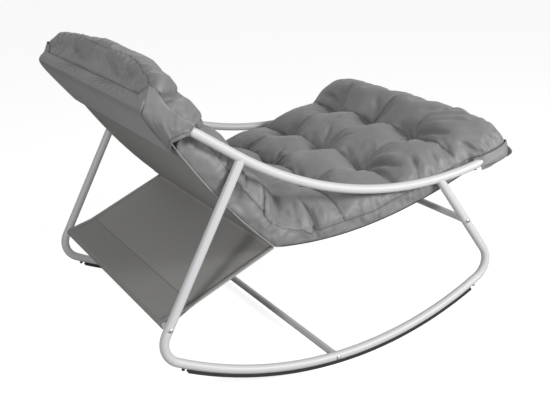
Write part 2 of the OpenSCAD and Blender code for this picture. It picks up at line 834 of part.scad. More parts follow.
at_rest() right() rocker_tube();  // right_rocker_tube
at_rest() left() rocker_tube();  // left_rocker_tube
at_rest() right() seat_rail();  // right_seat_rail
at_rest() left() seat_rail();  // left_seat_rail
at_rest() head_hoop();
at_rest() foot_hoop();
at_rest() rear_crossbar();
at_rest() low_crossbar();
at_rest() front_crossbar();
at_rest() bar_plugs(rear_bar);  // rear_bar_plugs
at_rest() bar_plugs(low_bar);  // low_bar_plugs
at_rest() bar_plugs(front_bar);  // front_bar_plugs
at_rest() bar_bolts(rear_bar);  // rear_bar_bolts
at_rest() bar_bolts(low_bar);  // low_bar_bolts
at_rest() bar_bolts(front_bar);  // front_bar_bolts
at_rest() lock_screws(head_lock, head_lock_tilt, "white");  // head_lock_screws
at_rest() lock_screws(foot_lock, foot_lock_tilt, [0.12, 0.12, 0.12]);  // foot_lock_screws
at_rest() right() rocker_strip();  // right_rocker_strip
at_rest() left() rocker_strip();  // left_rocker_strip
at_rest() strip_stops(-rocker_rear_turn + strip_end_turn * 0.6);  // rear_strip_stops
at_rest() strip_stops(rocker_front_turn - strip_end_turn * 0.6);  // front_strip_stops
at_rest() seat_sling();
at_rest() rear_panel();
at_rest() cushion_seat();
at_rest() cushion_back();
at_rest() head_pocket();
at_rest() foot_pocket();
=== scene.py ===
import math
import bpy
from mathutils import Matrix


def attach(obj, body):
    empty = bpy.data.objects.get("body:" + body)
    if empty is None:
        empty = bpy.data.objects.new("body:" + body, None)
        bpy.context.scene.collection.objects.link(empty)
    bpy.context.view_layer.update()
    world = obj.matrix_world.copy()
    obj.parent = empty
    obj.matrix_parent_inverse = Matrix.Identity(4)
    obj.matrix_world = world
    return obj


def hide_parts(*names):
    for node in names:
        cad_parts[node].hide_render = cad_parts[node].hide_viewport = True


bl_info = {
    "name": "Padded Tube Rocker",
    "version": (1, 0, 0),
    "blender": (4, 5, 0),
    "location": "3D View > Sidebar > Rocker",
    "description": "Upholstery, paint and studio for a tube framed rocking lounge chair",
    "category": "Add Mesh",
}

import bmesh
import bpy
import numpy as np
from bpy.props import FloatProperty, FloatVectorProperty, IntProperty, PointerProperty
from mathutils import Matrix, Vector, noise

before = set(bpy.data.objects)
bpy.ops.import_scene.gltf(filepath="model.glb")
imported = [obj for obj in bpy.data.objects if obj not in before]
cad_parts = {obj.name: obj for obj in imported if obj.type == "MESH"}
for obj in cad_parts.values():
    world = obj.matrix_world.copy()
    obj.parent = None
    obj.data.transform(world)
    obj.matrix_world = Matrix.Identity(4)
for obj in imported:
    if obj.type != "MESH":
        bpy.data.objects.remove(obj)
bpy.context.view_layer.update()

MM = 0.001

# The chair's side view in millimetres, drawn with the runners' lowest point at x = 0
TUBE_D = 25.0
FRAME_W = 870.0
ROCKER_CZ = 1060.5
REST_LEAN = math.radians(2.3)
ORIGIN_X = 47.443
RAIL_R, RAIL_LOW = 975.0, (258.0, 487.0)
RAIL_REAR, RAIL_FRONT = math.radians(32.2), math.radians(14.8)
HEAD_RUN, HEAD_REACH, FOOT_REACH = 165.0, 101.0, 100.0
HOOP_D = 21.4
BAR_D = 20.0
FOLD = Vector((-138.0, 368.0))
BACK_SAG, SEAT_SAG = 21.0, 54.0
SLING_T = 1.6
SLING_HALF = FRAME_W / 2 - 27.0

# Thickness of a sheet, of its folded hem and of a pocket, and the room between a sleeve and its bar
SHEET_T, HEM_T, POCKET_T = 1.3, 0.7, 1.3
SLEEVE_ROOM = 0.3 + 0.8


def side_view_to_rest():
    """Matrix from the side view in millimetres to the chair as it rests, in metres."""
    lean = Matrix.Translation((-ORIGIN_X, 0, ROCKER_CZ)) @ Matrix.Rotation(REST_LEAN, 4, "Y")
    return Matrix.Scale(MM, 4) @ lean @ Matrix.Translation((0, 0, -ROCKER_CZ))


REST = side_view_to_rest()


def rail_at(turn):
    return Vector((RAIL_LOW[0] + RAIL_R * math.sin(turn), RAIL_LOW[1] + RAIL_R - RAIL_R * math.cos(turn)))


HEAD_DIR = Vector((-math.cos(RAIL_REAR), math.sin(RAIL_REAR)))
FOOT_DIR = Vector((math.cos(RAIL_FRONT), math.sin(RAIL_FRONT)))
HEAD_UP = Vector((math.sin(RAIL_REAR), math.cos(RAIL_REAR)))
FOOT_UP = Vector((-math.sin(RAIL_FRONT), math.cos(RAIL_FRONT)))
RAIL_HEAD_END = rail_at(-RAIL_REAR) + HEAD_DIR * HEAD_RUN
RAIL_FOOT_END = rail_at(RAIL_FRONT)
HEAD_BAR = RAIL_HEAD_END + HEAD_DIR * HEAD_REACH
FOOT_BAR = RAIL_FOOT_END + FOOT_DIR * FOOT_REACH
REAR_BAR = Vector((-453.7, 212.2))


def slack_line(a, b, sag, t):
    along = (b - a).normalized()
    side = Vector((along.y, -along.x)) * (1 if a.x < b.x else -1)
    return a.lerp(b, t) + side * (sag * 4 * t * (1 - t) * (1.175 - 0.35 * t))


BACK_LEN = (HEAD_BAR - FOLD).length
SEAT_LEN = (FOOT_BAR - FOLD).length


def sling_point(q):
    """Point of the sling at run q from its fold: below zero up the back, above zero along the seat."""
    bar, sag, length = (HEAD_BAR, BACK_SAG, BACK_LEN) if q < 0 else (FOOT_BAR, SEAT_SAG, SEAT_LEN)
    d = abs(q)
    if d <= length:
        return slack_line(FOLD, bar, sag, d / length)
    end = (slack_line(FOLD, bar, sag, 1.0) - slack_line(FOLD, bar, sag, 0.97)).normalized()
    return bar + end * (d - length)


def sling_dir(q):
    """Direction of the sling at run q, towards the foot end."""
    side = -1 if q < 0 else 1
    near, far = max(0.0, abs(q) - 4), abs(q) + 4
    a, b = sling_point(side * near if near else side * 1e-6), sling_point(side * far)
    return (b - a).normalized() * side


def normal_of(direction):
    return Vector((-direction.y, direction.x))


def path_normal(path, i):
    """Normal of a path at its point i."""
    return normal_of((path[min(i + 1, len(path) - 1)] - path[max(i - 1, 0)]).normalized())


def way_along(points):
    """Length along a path up to each of its points."""
    ways = [0.0]
    for a, b in zip(points, points[1:]):
        ways.append(ways[-1] + (b - a).length)
    return ways


def from_ends(points):
    """Length from each point of a path to its nearer end."""
    return [min(ways) for ways in zip(way_along(points), way_along(points[::-1])[::-1])]


def spread(low, high, count):
    return [low + (high - low) * i / count for i in range(count + 1)]


def smooth_step(x):
    x = min(1.0, max(0.0, x))
    return x * x * (3 - 2 * x)


def table(x, stops):
    """Value at x between given stops, joined smoothly."""
    if x <= stops[0][0]:
        return stops[0][1]
    for (x0, y0), (x1, y1) in zip(stops, stops[1:]):
        if x <= x1:
            return y0 + (y1 - y0) * smooth_step((x - x0) / (x1 - x0))
    return stops[-1][1]


# ---- shader writing


class Wire:
    """A shader socket that does arithmetic as Python expressions do."""

    def __init__(self, tree, socket):
        self.tree, self.socket = tree, socket

    def _math(self, operation, *values):
        node = self.tree.nodes.new("ShaderNodeMath")
        node.operation = operation
        for slot, value in zip(node.inputs, values):
            if isinstance(value, Wire):
                self.tree.links.new(value.socket, slot)
            else:
                slot.default_value = value
        return Wire(self.tree, node.outputs[0])

    def __add__(self, other):
        return self._math("ADD", self, other)

    __radd__ = __add__

    def __mul__(self, other):
        return self._math("MULTIPLY", self, other)

    __rmul__ = __mul__

    def __sub__(self, other):
        return self._math("SUBTRACT", self, other)

    def __rsub__(self, other):
        return self._math("SUBTRACT", other, self)

    def __pow__(self, other):
        return self._math("POWER", self, other)

    def sin(self):
        return self._math("SINE", self)

    def abs(self):
        return self._math("ABSOLUTE", self)

    def at_least(self, other):
        return self._math("MAXIMUM", self, other)

    def at_most(self, other):
        return self._math("MINIMUM", self, other)


class Recipe:
    """One material's nodes, made by add() and joined by expressions."""

    def __init__(self, name):
        self.material = bpy.data.materials.new(name)
        self.material.use_nodes = True
        self.tree = self.material.node_tree
        self.tree.nodes.clear()

    def feed(self, slot, value):
        if isinstance(value, Wire):
            self.tree.links.new(value.socket, slot)
        else:
            slot.default_value = value

    def add(self, kind, out=0, **inputs):
        """A node with its inputs, named as in Blender, or i0, i1 and so on by their place."""
        node = self.tree.nodes.new("ShaderNode" + kind)
        for key, value in inputs.items():
            self.feed(node.inputs[int(key[1:]) if key[1:].isdigit() else key.replace("_", " ")], value)
        return Wire(self.tree, node.outputs[out])

    def noise(self, scale, detail, roughness):
        place = self.add("TexCoord", out=3)
        return self.add("TexNoise", Vector=place, Scale=scale, Detail=detail, Roughness=roughness)

    def uv(self, name):
        """The two directions of a UV map."""
        node = self.tree.nodes.new("ShaderNodeUVMap")
        node.uv_map = name
        parts = self.tree.nodes.new("ShaderNodeSeparateXYZ")
        self.tree.links.new(node.outputs[0], parts.inputs[0])
        return [Wire(self.tree, s) for s in parts.outputs[:2]]

    def blend(self, factor, a, b):
        """Colour between a and b."""
        node = self.tree.nodes.new("ShaderNodeMix")
        node.data_type = "RGBA"
        for place, value in ((0, factor), (6, a), (7, b)):
            self.feed(node.inputs[place], (*value, 1.0) if isinstance(value, tuple) else value)
        return Wire(self.tree, node.outputs[2])

    def finish(self, surface):
        self.tree.links.new(surface.socket, self.tree.nodes.new("ShaderNodeOutputMaterial").inputs[0])
        return self.material


def shade(colour, share):
    return tuple(min(1.0, c * share) for c in colour)


def finish_hard(name, grain, patches, relief, tones, rough, **more):
    """Finish with a fine grain in its bump and patches that vary its tone and roughness.

    grain and patches are scale, detail and roughness of their noise, relief is the bump's
    strength and distance, and rough is the least roughness and what the patches add.
    """
    r = Recipe(name)
    fine = r.noise(*grain)
    cloud = r.noise(*patches)
    bump = r.add("Bump", Height=fine, Strength=relief[0], Distance=relief[1])
    return r.finish(r.add(
        "BsdfPrincipled", Base_Color=r.blend(cloud, *tones), Roughness=rough[0] + cloud * rough[1],
        Normal=bump, **more))


def finish_steel(name, colour, metal, rough):
    grain = (420.0, 4.0, 0.6)
    return finish_hard(name, grain, grain, (0.12, 0.0003), (shade(colour, 0.86), colour), (rough, 0.15),
                       Metallic=metal)


def band(wire, half):
    """1 where the wire is zero, falling to 0 at half to each side."""
    return (1.0 - wire.abs() * (1 / half)).at_least(0.0)


THREAD = 7400.0
STITCH, STITCH_ROW = 0.0045, 0.0045
WEAVE_PITCH = 0.0016


def finish_cushion_cloth(colour, name="cushion cloth", edge_line=False):
    """Plain woven polyester with a soft sheen, and a stitched seam wherever the Seam map crosses zero, its
    groove darkened as painted shade.
    """
    r = Recipe(name)
    u, v = r.uv("UVMap")
    along, off = r.uv("Seam")
    thread = (u * THREAD).sin() * 0.5 + (v * THREAD).sin() * 0.5
    slub, cloud, fine = r.noise(55.0, 6.0, 0.7), r.noise(6.0, 4.0, 0.6), r.noise(1600.0, 2.0, 0.5)
    groove = band(off, 0.0026)
    stitch = ((along * (math.pi / STITCH)).sin() * 4.0).at_least(0.0).at_most(1.0)
    row = band(off - STITCH_ROW, 0.0012) * stitch
    if edge_line:
        groove = groove.at_least(band(v - 0.0015, 0.0022))
    height = thread * 0.35 + slub * 0.9 + fine * 0.4 - groove * 3.0 - row * 1.2
    tint = r.blend(cloud * 0.6 + slub * 0.4, shade(colour, 0.87), shade(colour, 1.08))
    # Painted shade: the seam's groove is painted dark, darker still at its stitches, and the stitch row
    # beside it is drawn dark
    line = (groove * (0.55 + stitch * 0.35)).at_least(row * 0.35)
    return r.finish(r.add(
        "BsdfPrincipled", Base_Color=r.blend(line, tint, shade(colour, 0.16)), Roughness=0.40 + slub * 0.16,
        Normal=r.add("Bump", Height=height, Strength=0.16, Distance=0.0012), Sheen_Weight=0.2,
        Sheen_Roughness=0.45, Specular_IOR_Level=0.45))


def finish_sling_weave(colour, name="sling weave", seam_at=None, shaded_from=None):
    """Coated yarn mesh: a basket weave with dark gaps, a stitched seam across it and a run of edge darkened
    as painted shade.
    """
    r = Recipe(name)
    u, v = r.uv("UVMap")
    pitch = math.pi / WEAVE_PITCH
    warp, weft = (u * pitch).sin(), (v * pitch).sin()
    over = (warp * warp).at_least(weft * weft)
    twill = ((u + v) * (pitch * 0.5)).sin() * 0.5 + 0.5
    cloud, streak = r.noise(9.0, 4.0, 0.6), r.noise(120.0, 2.0, 0.5)
    bump = r.add("Bump", Height=over * 0.8 + twill * 0.2, Strength=0.5, Distance=0.0009)
    yarn = r.blend(cloud * 0.5 + streak * 0.5, shade(colour, 0.93), shade(colour, 1.07))
    tint = r.blend(over ** 0.7, shade(colour, 0.58), yarn)
    # Painted shade: past the given place the cloth is painted nearly black, standing in for the shade under
    # the seat
    if shaded_from is not None:
        painted_shade = ((v - shaded_from) * 40.0).at_least(0.0).at_most(0.9)
        tint = r.blend(painted_shade, tint, shade(colour, 0.05))
    # The seam is drawn as a dark line, and the cloth past it a little darker
    if seam_at:
        past = v - seam_at
        sleeve_darker = (past * 400.0).at_least(0.0).at_most(1.0)
        tint = r.blend((band(past, 0.0022) * 0.75).at_least(sleeve_darker * 0.16), tint, shade(colour, 0.2))
    return r.finish(r.add(
        "BsdfPrincipled", Base_Color=tint, Roughness=0.55 + cloud * 0.12, Normal=bump,
        Specular_IOR_Level=0.4))


# ---- mesh helpers


def new_piece(name, bm, material):
    """Object at the origin from a bmesh made in side-view millimetres."""
    bmesh.ops.transform(bm, matrix=REST, verts=bm.verts)
    mesh = bpy.data.meshes.new(name)
    bm.to_mesh(mesh)
    bm.free()
    mesh.shade_smooth()
    piece = bpy.data.objects.new(name, mesh)
    bpy.context.scene.collection.objects.link(piece)
    mesh.materials.append(material)
    return piece


def bake_modifiers(piece):
    """The piece with its modifiers worked into its mesh."""
    bpy.context.view_layer.update()
    graph = bpy.context.evaluated_depsgraph_get()
    mesh = bpy.data.meshes.new_from_object(piece.evaluated_get(graph), depsgraph=graph)
    old = piece.data
    piece.modifiers.clear()
    piece.data = mesh
    bpy.data.meshes.remove(old)
    return piece


def dress(material, *names):
    """Give CAD nodes a procedural material."""
    for name in names:
        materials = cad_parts[name].data.materials
        materials.clear()
        materials.append(material)


# ---- cushion

CUSHION_HALF = FRAME_W / 2 - TUBE_D / 2 - 2
BASE_HALF = SLING_HALF + 1.0
FOLD_COT = 1 / math.tan(
    math.acos(max(-1, min(1, sling_dir(1e-3).dot(-sling_dir(-1e-3))))) / 2)
BAND_ROWS = 6
# Height that stands for the top panel, and the Seam map's value on the underside
TOP_PANEL, UNDER = 2, -60.0
# Room over a rail where the cushion's ends pass it, and the cushion's thickness at its fold
RAIL_ROOM, FOLD_PUFF = 1.4, 88


def off_grid(x):
    return abs(x - round(x))


def pillow(x):
    """Rise of a puff from the crease at 0 to its middle at 0.5."""
    a = min(1.0, 2 * x)
    return (1 - (1 - a) ** 2.3) ** (1 / 1.7)


class CushionPart:
    """The cushion's back or seat: its run from the fold, its end and the height of its seams."""

    def __init__(self, side, **shape):
        """shape gives length, pitch, bar, out, up, over, half, wide_from, crease, seam, rim, crest,
        end_base and puff."""
        self.side = side
        vars(self).update(shape)
        length, pitch = self.length, self.pitch
        self.last = length + self.over
        self.rows = int((length - 0.4 * pitch) / pitch)
        t = sling_dir(side * length) * side
        u = normal_of(t * side)
        self.shear = self.up.dot(t) / self.up.dot(u)
        self.end_base = (self.up * self.end_base + self.out * self.over).dot(u)

    def wide(self, d):
        return smooth_step((d - self.wide_from) / 42.0)

    def end(self, d, reach=0.42):
        """Nearness to the end: 1 at the end, 0 from a share of the pitch before it."""
        return 1 - min(1.0, max(0.0, (self.last - d) / (reach * self.pitch)))

    def over_rail(self, d):
        """Height over the sling at which the cushion clears the top of the rail."""
        q = self.side * min(d, self.length)
        u = normal_of(sling_dir(q))
        w = self.bar - sling_point(q)
        cross_w = w.x * self.out.y - w.y * self.out.x
        cross_u = u.x * self.out.y - u.y * self.out.x
        return cross_w / cross_u + (TUBE_D / 2 + RAIL_ROOM) / abs(cross_u)


class CushionForm:
    """Where each point of the cushion lies, from its run q, place v across it and height."""

    def __init__(self, settings):
        self.s = settings
        self.back = CushionPart(
            -1, length=BACK_LEN, pitch=settings.back_pitch, bar=HEAD_BAR, out=HEAD_DIR, up=HEAD_UP, over=15.4,
            half=447.0, wide_from=BACK_LEN - 140.0, crease=0.8,
            seam=((0, 50), (0.11, 43), (0.2, 54), (0.41, 61), (0.62, 67), (0.76, 58), (0.88, 43),
                  (0.96, 36), (1, 36)),
            rim=((-1, 36), (-0.88, 53), (-0.66, 73), (-0.5, 78), (0.4, 80), (0.7, 77), (0.9, 68), (1, 40)),
            crest=((-1, -20), (-0.8, -20), (-0.66, -18), (-0.45, -1), (-0.2, 0), (0, 6), (0.2, 2),
                   (0.45, -16), (0.67, -12), (0.9, -14), (1, -20)),
            end_base=18.0, puff=settings.puff + 5)
        self.seat = CushionPart(
            1, length=SEAT_LEN, pitch=settings.seat_pitch, bar=FOOT_BAR, out=FOOT_DIR, up=FOOT_UP, over=12.2,
            half=440.0, wide_from=SEAT_LEN - 112.0, crease=0.5,
            seam=((0, 50), (0.08, 41), (0.13, 28), (0.19, 34), (0.35, 38), (0.5, 43), (0.7, 45), (0.87, 37),
                  (1, 27)),
            rim=((-1, 27), (-0.95, 40), (-0.88, 57), (-0.6, 68), (0.6, 68), (0.9, 58), (1, 27)),
            crest=((-1, 13), (1, 13)),
            end_base=27.0, puff=settings.puff)

    def part(self, q):
        return self.back if q < 0 else self.seat

    def half(self, q):
        part, d = self.part(q), abs(q)
        wide = part.wide(d)
        draw = 1 - 0.016 * math.cos(math.pi * d / part.pitch) ** 2 * (1 - wide)
        into = min(1.0, max(0.0, (d - part.last + 24) / 24))
        corner = 15 * (1 - math.sqrt(1 - into * into))
        return (CUSHION_HALF + (part.half - CUSHION_HALF) * wide) * draw - corner

    def edge(self, q, v):
        """Height of the rim, where the band meets the top panel."""
        part, d = self.part(q), abs(q)
        seam = table(min(1.0, d / part.length), part.seam)
        wide = part.wide(d)
        if wide > 0:
            seam = max(seam, part.over_rail(d) + 1) if d < part.length - 92 else seam
        return seam + (table(v, part.rim) - seam) * smooth_step(part.end(d))

    def base(self, q, v):
        part, d = self.part(q), abs(q)
        near = SLING_T / 2 + 0.5 + 3 * smooth_step((d - part.length + 60) / 50)
        flat = near + (part.end_base - near) * smooth_step((d - part.length + 34) / 32)
        lift = max(0.0, self.edge(q, 1.0) - 9 - flat) * part.wide(d)
        return flat + lift * smooth_step((abs(v) - 0.90) / 0.06)

    def top(self, q, v):
        """Height of the top panel at run q and place v (0 in the middle, 1 at the edge)."""
        part, d = self.part(q), abs(q)
        rim = self.edge(q, v)
        uneven = 6 * noise.noise(Vector((q * 0.0065, v * 2.4, 3.7)))
        uneven += 3 * noise.noise(Vector((q * 0.016, v * 5.5, 8.2)))
        full = 5 - (1.7 if v < 0 else 0.0) * part.wide(d)
        roll = table(v, part.crest) * smooth_step((d - part.pitch * part.rows - 25) / 60)
        v = min(1.0, abs(v))
        if part.side < 0:
            full += 5 * math.exp(-((d - 350) / 75) ** 2)
        body = FOLD_PUFF + (part.puff + roll - FOLD_PUFF) * smooth_step(d / (0.5 * part.pitch)) + uneven
        side_round = math.sqrt(max(0.0, 1 - v ** full))
        end_round = math.sqrt(max(0.0, 1 - part.end(d) ** 5))
        crown = rim + (body - rim) * side_round * end_round
        rows = smooth_step((d - 0.35 * part.pitch) / (0.3 * part.pitch)) * smooth_step(
            (part.last - d - 0.35 * part.pitch) / (0.2 * part.pitch))
        dr, dc = off_grid(d / part.pitch), off_grid(v * CUSHION_HALF / self.s.tuft_pitch)
        cols = smooth_step((0.86 - v) / 0.12)
        pinch = rows * cols * math.exp(-((dr * dr + dc * dc) / 0.014) ** 0.75)
        by_tuft = math.exp(-(dc / 0.26) ** 2)
        row_dip = rows * self.s.row_dip * (1 - pillow(dr)) * (part.crease + 0.6 * by_tuft * cols)
        if part.side < 0:
            row_dip *= 1 - 0.6 * smooth_step((v - 0.72) / 0.2)
        past_row = d - part.pitch * part.rows
        col_dip = cols * self.s.column_dip * (1 - pillow(dc)) * smooth_step((d - 30) / 70)
        col_dip *= 0.45 + 0.75 * rows * math.exp(-(dr / 0.22) ** 2)
        col_dip *= 1 - 0.85 * smooth_step((past_row - 25) / 60)
        dip = max(row_dip, col_dip, 0.75 * (row_dip + col_dip)) * side_round ** 0.5 * end_round
        return crown - max(dip, (crown - self.s.tuft) * pinch)

    def place(self, q, v, w):
        """Point for run q, place v from -1 to 1, and height w: 0 base, 1 rim; 2 is the top panel."""
        part, d = self.part(q), abs(q)
        flat, past = min(d, part.length), max(0.0, d - part.length)
        base = self.base(q, v)
        h = self.top(q, v) if w == TOP_PANEL else base + (self.edge(q, v) - base) * w
        half = self.half(q)
        if w < 1:
            low = BASE_HALF + (half - 5 - BASE_HALF) * part.wide(d)
            half = min(half, low) + (half - min(half, low)) * w ** 0.6
        lean = smooth_step(1 - d / 130.0)
        tilt = smooth_step((d - part.length + 120) / 120)
        run = flat + past + h * (FOLD_COT * lean + part.shear * tilt)
        p = sling_point(part.side * flat)
        t = sling_dir(part.side * flat)
        q2 = p + t * part.side * (run - flat) + normal_of(t) * h
        return Vector((q2.x, v * half, q2.y))


def box_shell(runs, places, heights, place):
    """Closed shell of a bent box: a grid on each of its six sides, joined at the rims.

    Vertex layers keep each vertex's run and place across; the UV map Seam holds the way along
    the rim and the distance from it, above zero on the top panel and below zero on the band.
    """
    bm = bmesh.new()
    uv = bm.loops.layers.uv.new("UVMap")
    seam = bm.loops.layers.uv.new("Seam")
    run_layer = bm.verts.layers.float.new("run")
    across_layer = bm.verts.layers.float.new("across")
    nq, nv, nw = len(runs) - 1, len(places) - 1, len(heights) - 1
    verts = {}

    def inside(i, j):
        return 0 < i < nq and 0 < j < nv

    def at(i, j, k):
        if (i, j, k) not in verts:
            level = TOP_PANEL if k == nw and inside(i, j) else heights[k]
            vert = verts[i, j, k] = bm.verts.new(place(runs[i], places[j], level))
            vert[run_layer] = runs[i]
            vert[across_layer] = places[j] * CUSHION_HALF
        return verts[i, j, k]

    metres = [[r * MM for r in runs], [p * CUSHION_HALF * MM for p in places], [h * 0.05 for h in heights]]

    def quad(corner, a, b, turn, u, v):
        """Face from a corner along the grid's axes a and b, with axes u and v as its UVs."""
        keys = []
        for step in ((0, 0), (1, 0), (1, 1), (0, 1))[::turn]:
            key = list(corner)
            key[a] += step[0]
            key[b] += step[1]
            keys.append(key)
        for loop, key in zip(bm.faces.new([at(*key) for key in keys]).loops, keys):
            loop[uv].uv = (metres[u][key[u]], metres[v][key[v]])

    for i in range(nq):
        for j in range(nv):
            quad((i, j, 0), 0, 1, 1, 1, 0)
            quad((i, j, nw), 0, 1, -1, 1, 0)
        for k in range(nw):
            quad((i, 0, k), 0, 2, -1, 0, 2)
            quad((i, nv, k), 0, 2, 1, 0, 2)
    for j in range(nv):
        for k in range(nw):
            quad((0, j, k), 1, 2, 1, 1, 2)
            quad((nq, j, k), 1, 2, -1, 1, 2)
    to_side = [from_ends([verts[i, j, nw].co for j in range(nv + 1)]) for i in range(nq + 1)]
    to_end = [from_ends([verts[i, j, nw].co for i in range(nq + 1)]) for j in range(nv + 1)]
    mark = {}
    for (i, j, k), vert in verts.items():
        side, end = to_side[i][j], to_end[j][i]
        off = min(side, end) if k == nw else -(verts[i, j, nw].co - vert.co).length
        if k == 0 and inside(i, j):
            off = UNDER
        mark[vert] = (metres[0][i] if side <= end else metres[1][j], off * MM)
    for face in bm.faces:
        for loop in face.loops:
            loop[seam].uv = mark[loop.vert]
    return bm, verts


# ---- sheets


def grid_faces(bm, rows, layers, place, turn=1):
    """Faces between rows of vertices; place gives the spot of row r and column c in each UV layer."""
    for i in range(len(rows) - 1):
        for j in range(len(rows[0]) - 1):
            keys = ((i, j), (i + 1, j), (i + 1, j + 1), (i, j + 1))[::turn]
            face = bm.faces.new([rows[r][c] for r, c in keys])
            for loop, key in zip(face.loops, keys):
                for layer, spot in zip(layers, place(*key)):
                    loop[layer].uv = spot


def ribbon(path, half, columns, bend):
    """Grid of cloth along a path in the side view, half(length along it) to each side."""
    bm = bmesh.new()
    layer = bm.loops.layers.uv.new("UVMap")
    ways = way_along(path)
    rows = []
    for i, (p, s) in enumerate(zip(path, ways)):
        n = path_normal(path, i)
        rows.append([bm.verts.new((p.x + n.x * bend(s, v), v * half(s), p.y + n.y * bend(s, v)))
                     for v in spread(-1, 1, columns)])
    grid_faces(bm, rows, [layer], lambda r, c: [(rows[r][c].co.y * MM, ways[r] * MM)])
    area = sum((b - a) * (half(a) + half(b)) for a, b in zip(ways, ways[1:]))
    return bm, ways[-1], area


def sleeve_loop(centre, run, radius, depth, allowance, gap):
    """Path of a sleeve from its seam round a bar and back, where the run reaches the bar."""
    n = normal_of(run)
    open_angle = math.acos(radius / depth)
    turn = [centre + (run * math.cos(a) + n * math.sin(a)) * radius
            for a in spread(open_angle, 2 * math.pi - open_angle, 22)]
    mouth = centre + run * depth
    return [mouth] + turn + [mouth - n * gap, mouth + run * allowance - n * gap]


def thicken(piece, thickness):
    solid = piece.modifiers.new("thickness", "SOLIDIFY")
    solid.thickness = thickness * MM
    solid.offset = 0.0
    return piece


def hem_tapes(name, line, weave, width, edge, tip):
    """Folded tape along both sides of a sheet, on a line of points and their outward normals."""
    bm = bmesh.new()
    layer = bm.loops.layers.uv.new("UVMap")
    profile = ((-width, 1.5), (10 - width, 1.6), (edge, 1.4), (tip, 0.0), (edge, -1.2))
    for side in (-1, 1):
        rows = [[bm.verts.new((p.x + n.x * lift, side * (SLING_HALF + y), p.y + n.y * lift))
                 for y, lift in profile] for p, n in line]
        grid_faces(bm, rows, [layer], lambda r, c: [(rows[r][c].co.y * MM, rows[r][c].co.x * MM)], side)
    return thicken(new_piece(name, bm, weave), HEM_T)


def hang_sheet(sheet, hems, node, length, area):
    for piece in (sheet, hems):
        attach(piece, "root")
    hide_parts(node)
    length * MM
    area * MM * MM


# ---- pockets

# Shares of a pocket's drop at its four edges, its hem's width and how far it stands proud at the corner
POCKET_LEVELS = (0, 0.3, 0.5, 1)
HEM_W = 12
CORNER_PROUD = 7.0


def gathers(seed, low, high, count, width):
    """Ridges of gathered cloth along a seam: a function of the place along it."""
    random = noise.random
    noise.seed_set(seed)
    ridges = [(low + (high - low) * random(), width * (0.5 + random()), 0.35 + 0.65 * random())
              for _ in range(count)]

    def ridge(s):
        return sum(a * math.exp(-((s - p) / w) ** 2) for p, w, a in ridges)

    return ridge


def along_stops(a, stops):
    """Point at a on a smooth curve through stops (place, point)."""
    if a <= stops[0][0]:
        return stops[0][1].copy()
    for k in range(len(stops) - 1):
        a0, p1 = stops[k]
        a1, p2 = stops[k + 1]
        if a <= a1:
            p0 = stops[max(k - 1, 0)][1]
            p3 = stops[min(k + 2, len(stops) - 1)][1]
            t = (a - a0) / (a1 - a0)
            return 0.5 * ((2 * p1) + (p2 - p0) * t + (2 * p0 - 5 * p1 + 4 * p2 - p3) * t * t
                          + (3 * p1 - p0 - 3 * p2 + p3) * t * t * t)
    return stops[-1][1].copy()


def pocket_grid(part, edges, across, down, ripple, tucked):
    """Pocket sewn round a hoop: from its seam, past the hoop, to its hem."""
    bm = bmesh.new()
    layers = [bm.loops.layers.uv.new(name) for name in ("UVMap", "Seam")]
    grid = []
    for x in spread(-1, 1, across):
        a, side = 1 - abs(x), (-1 if x < 0 else 1)
        stops = list(zip(POCKET_LEVELS, [along_stops(a, edge) for edge in edges]))
        tuck = tucked * math.exp(-((a - 0.28) / 0.12) ** 2) if side > 0 else 0.0
        slope = smooth_step((a - 0.28) / 0.14)
        column = []
        for t in spread(0, 1, down):
            p = along_stops(t, stops)
            outward = ripple(side * p.z, a, t)
            b = p.x - outward * slope * 0.75
            q = p.y + tuck * t * t - outward * slope * 0.5 * smooth_step(t * 3)
            place = part.bar - part.out * b + part.up * q
            column.append(bm.verts.new(
                (place.x, (p.z - tuck * t) * side + outward * (1 - slope) * side, place.y)))
        grid.append(column)
    ways = way_along([column[down // 2].co for column in grid])
    drops = [way_along([vert.co for vert in column]) for column in grid]
    grid_faces(bm, grid, layers, lambda r, c: (
        (ways[r] * MM, drops[r][c] * MM), (ways[r] * MM, (drops[r][-1] - drops[r][c] - HEM_W) * MM)))
    area = sum(face.calc_area() for face in bm.faces)
    return bm, ways[-1], max(drop[-1] for drop in drops), area


def pocket_edges(tops, rows):
    """A pocket's four edges, from its top one and rows of a place and the other three's points there."""
    return [tops] + [[(row[0], Vector(row[k])) for row in rows] for k in (1, 2, 3)]


def pocket_tops(form, part, start):
    """Upper edge of a pocket: along the cushion's side rim, round its corner and across its end."""
    stops = []
    for a in spread(0, 1, 60):
        b = -part.over + (start + part.over) * (1 - min(1.0, a / 0.40))
        d = min(part.last, part.length - b / math.cos(math.atan(part.shear)))
        w = 1 - smooth_step((a - 0.37) / 0.09)
        v = 1.0 if a < 0.43 else 1 - (a - 0.43) / 0.57
        p = form.place(part.side * d, v, min(w, 0.999) if d >= part.last else 1)
        away = Vector((p.x, p.z)) - part.bar
        proud = CORNER_PROUD * 4 * w * (1 - w)
        stops.append((a, Vector((
            -away.dot(part.out) - 0.8 * proud, away.dot(part.up) - 0.5, p.y + 0.8 + 0.5 * proud))))
    return stops


def sew_pocket(node, cloth, hoop, bm, width, tall, area):
    pocket = thicken(new_piece(node + "_cloth", bm, cloth), POCKET_T)
    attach(pocket, "root")
    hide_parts(node)
    width * MM
    tall * MM
    area * MM * MM


# ---- settings


def colour_setting(name, description, default):
    return FloatVectorProperty(
        name=name, description=description, subtype="COLOR", size=3, min=0.0, max=1.0, default=default)


def size_setting(name, description, default, low, high, unit=", in millimetres"):
    return FloatProperty(name=name, description=description + unit, default=default, min=low, max=high)


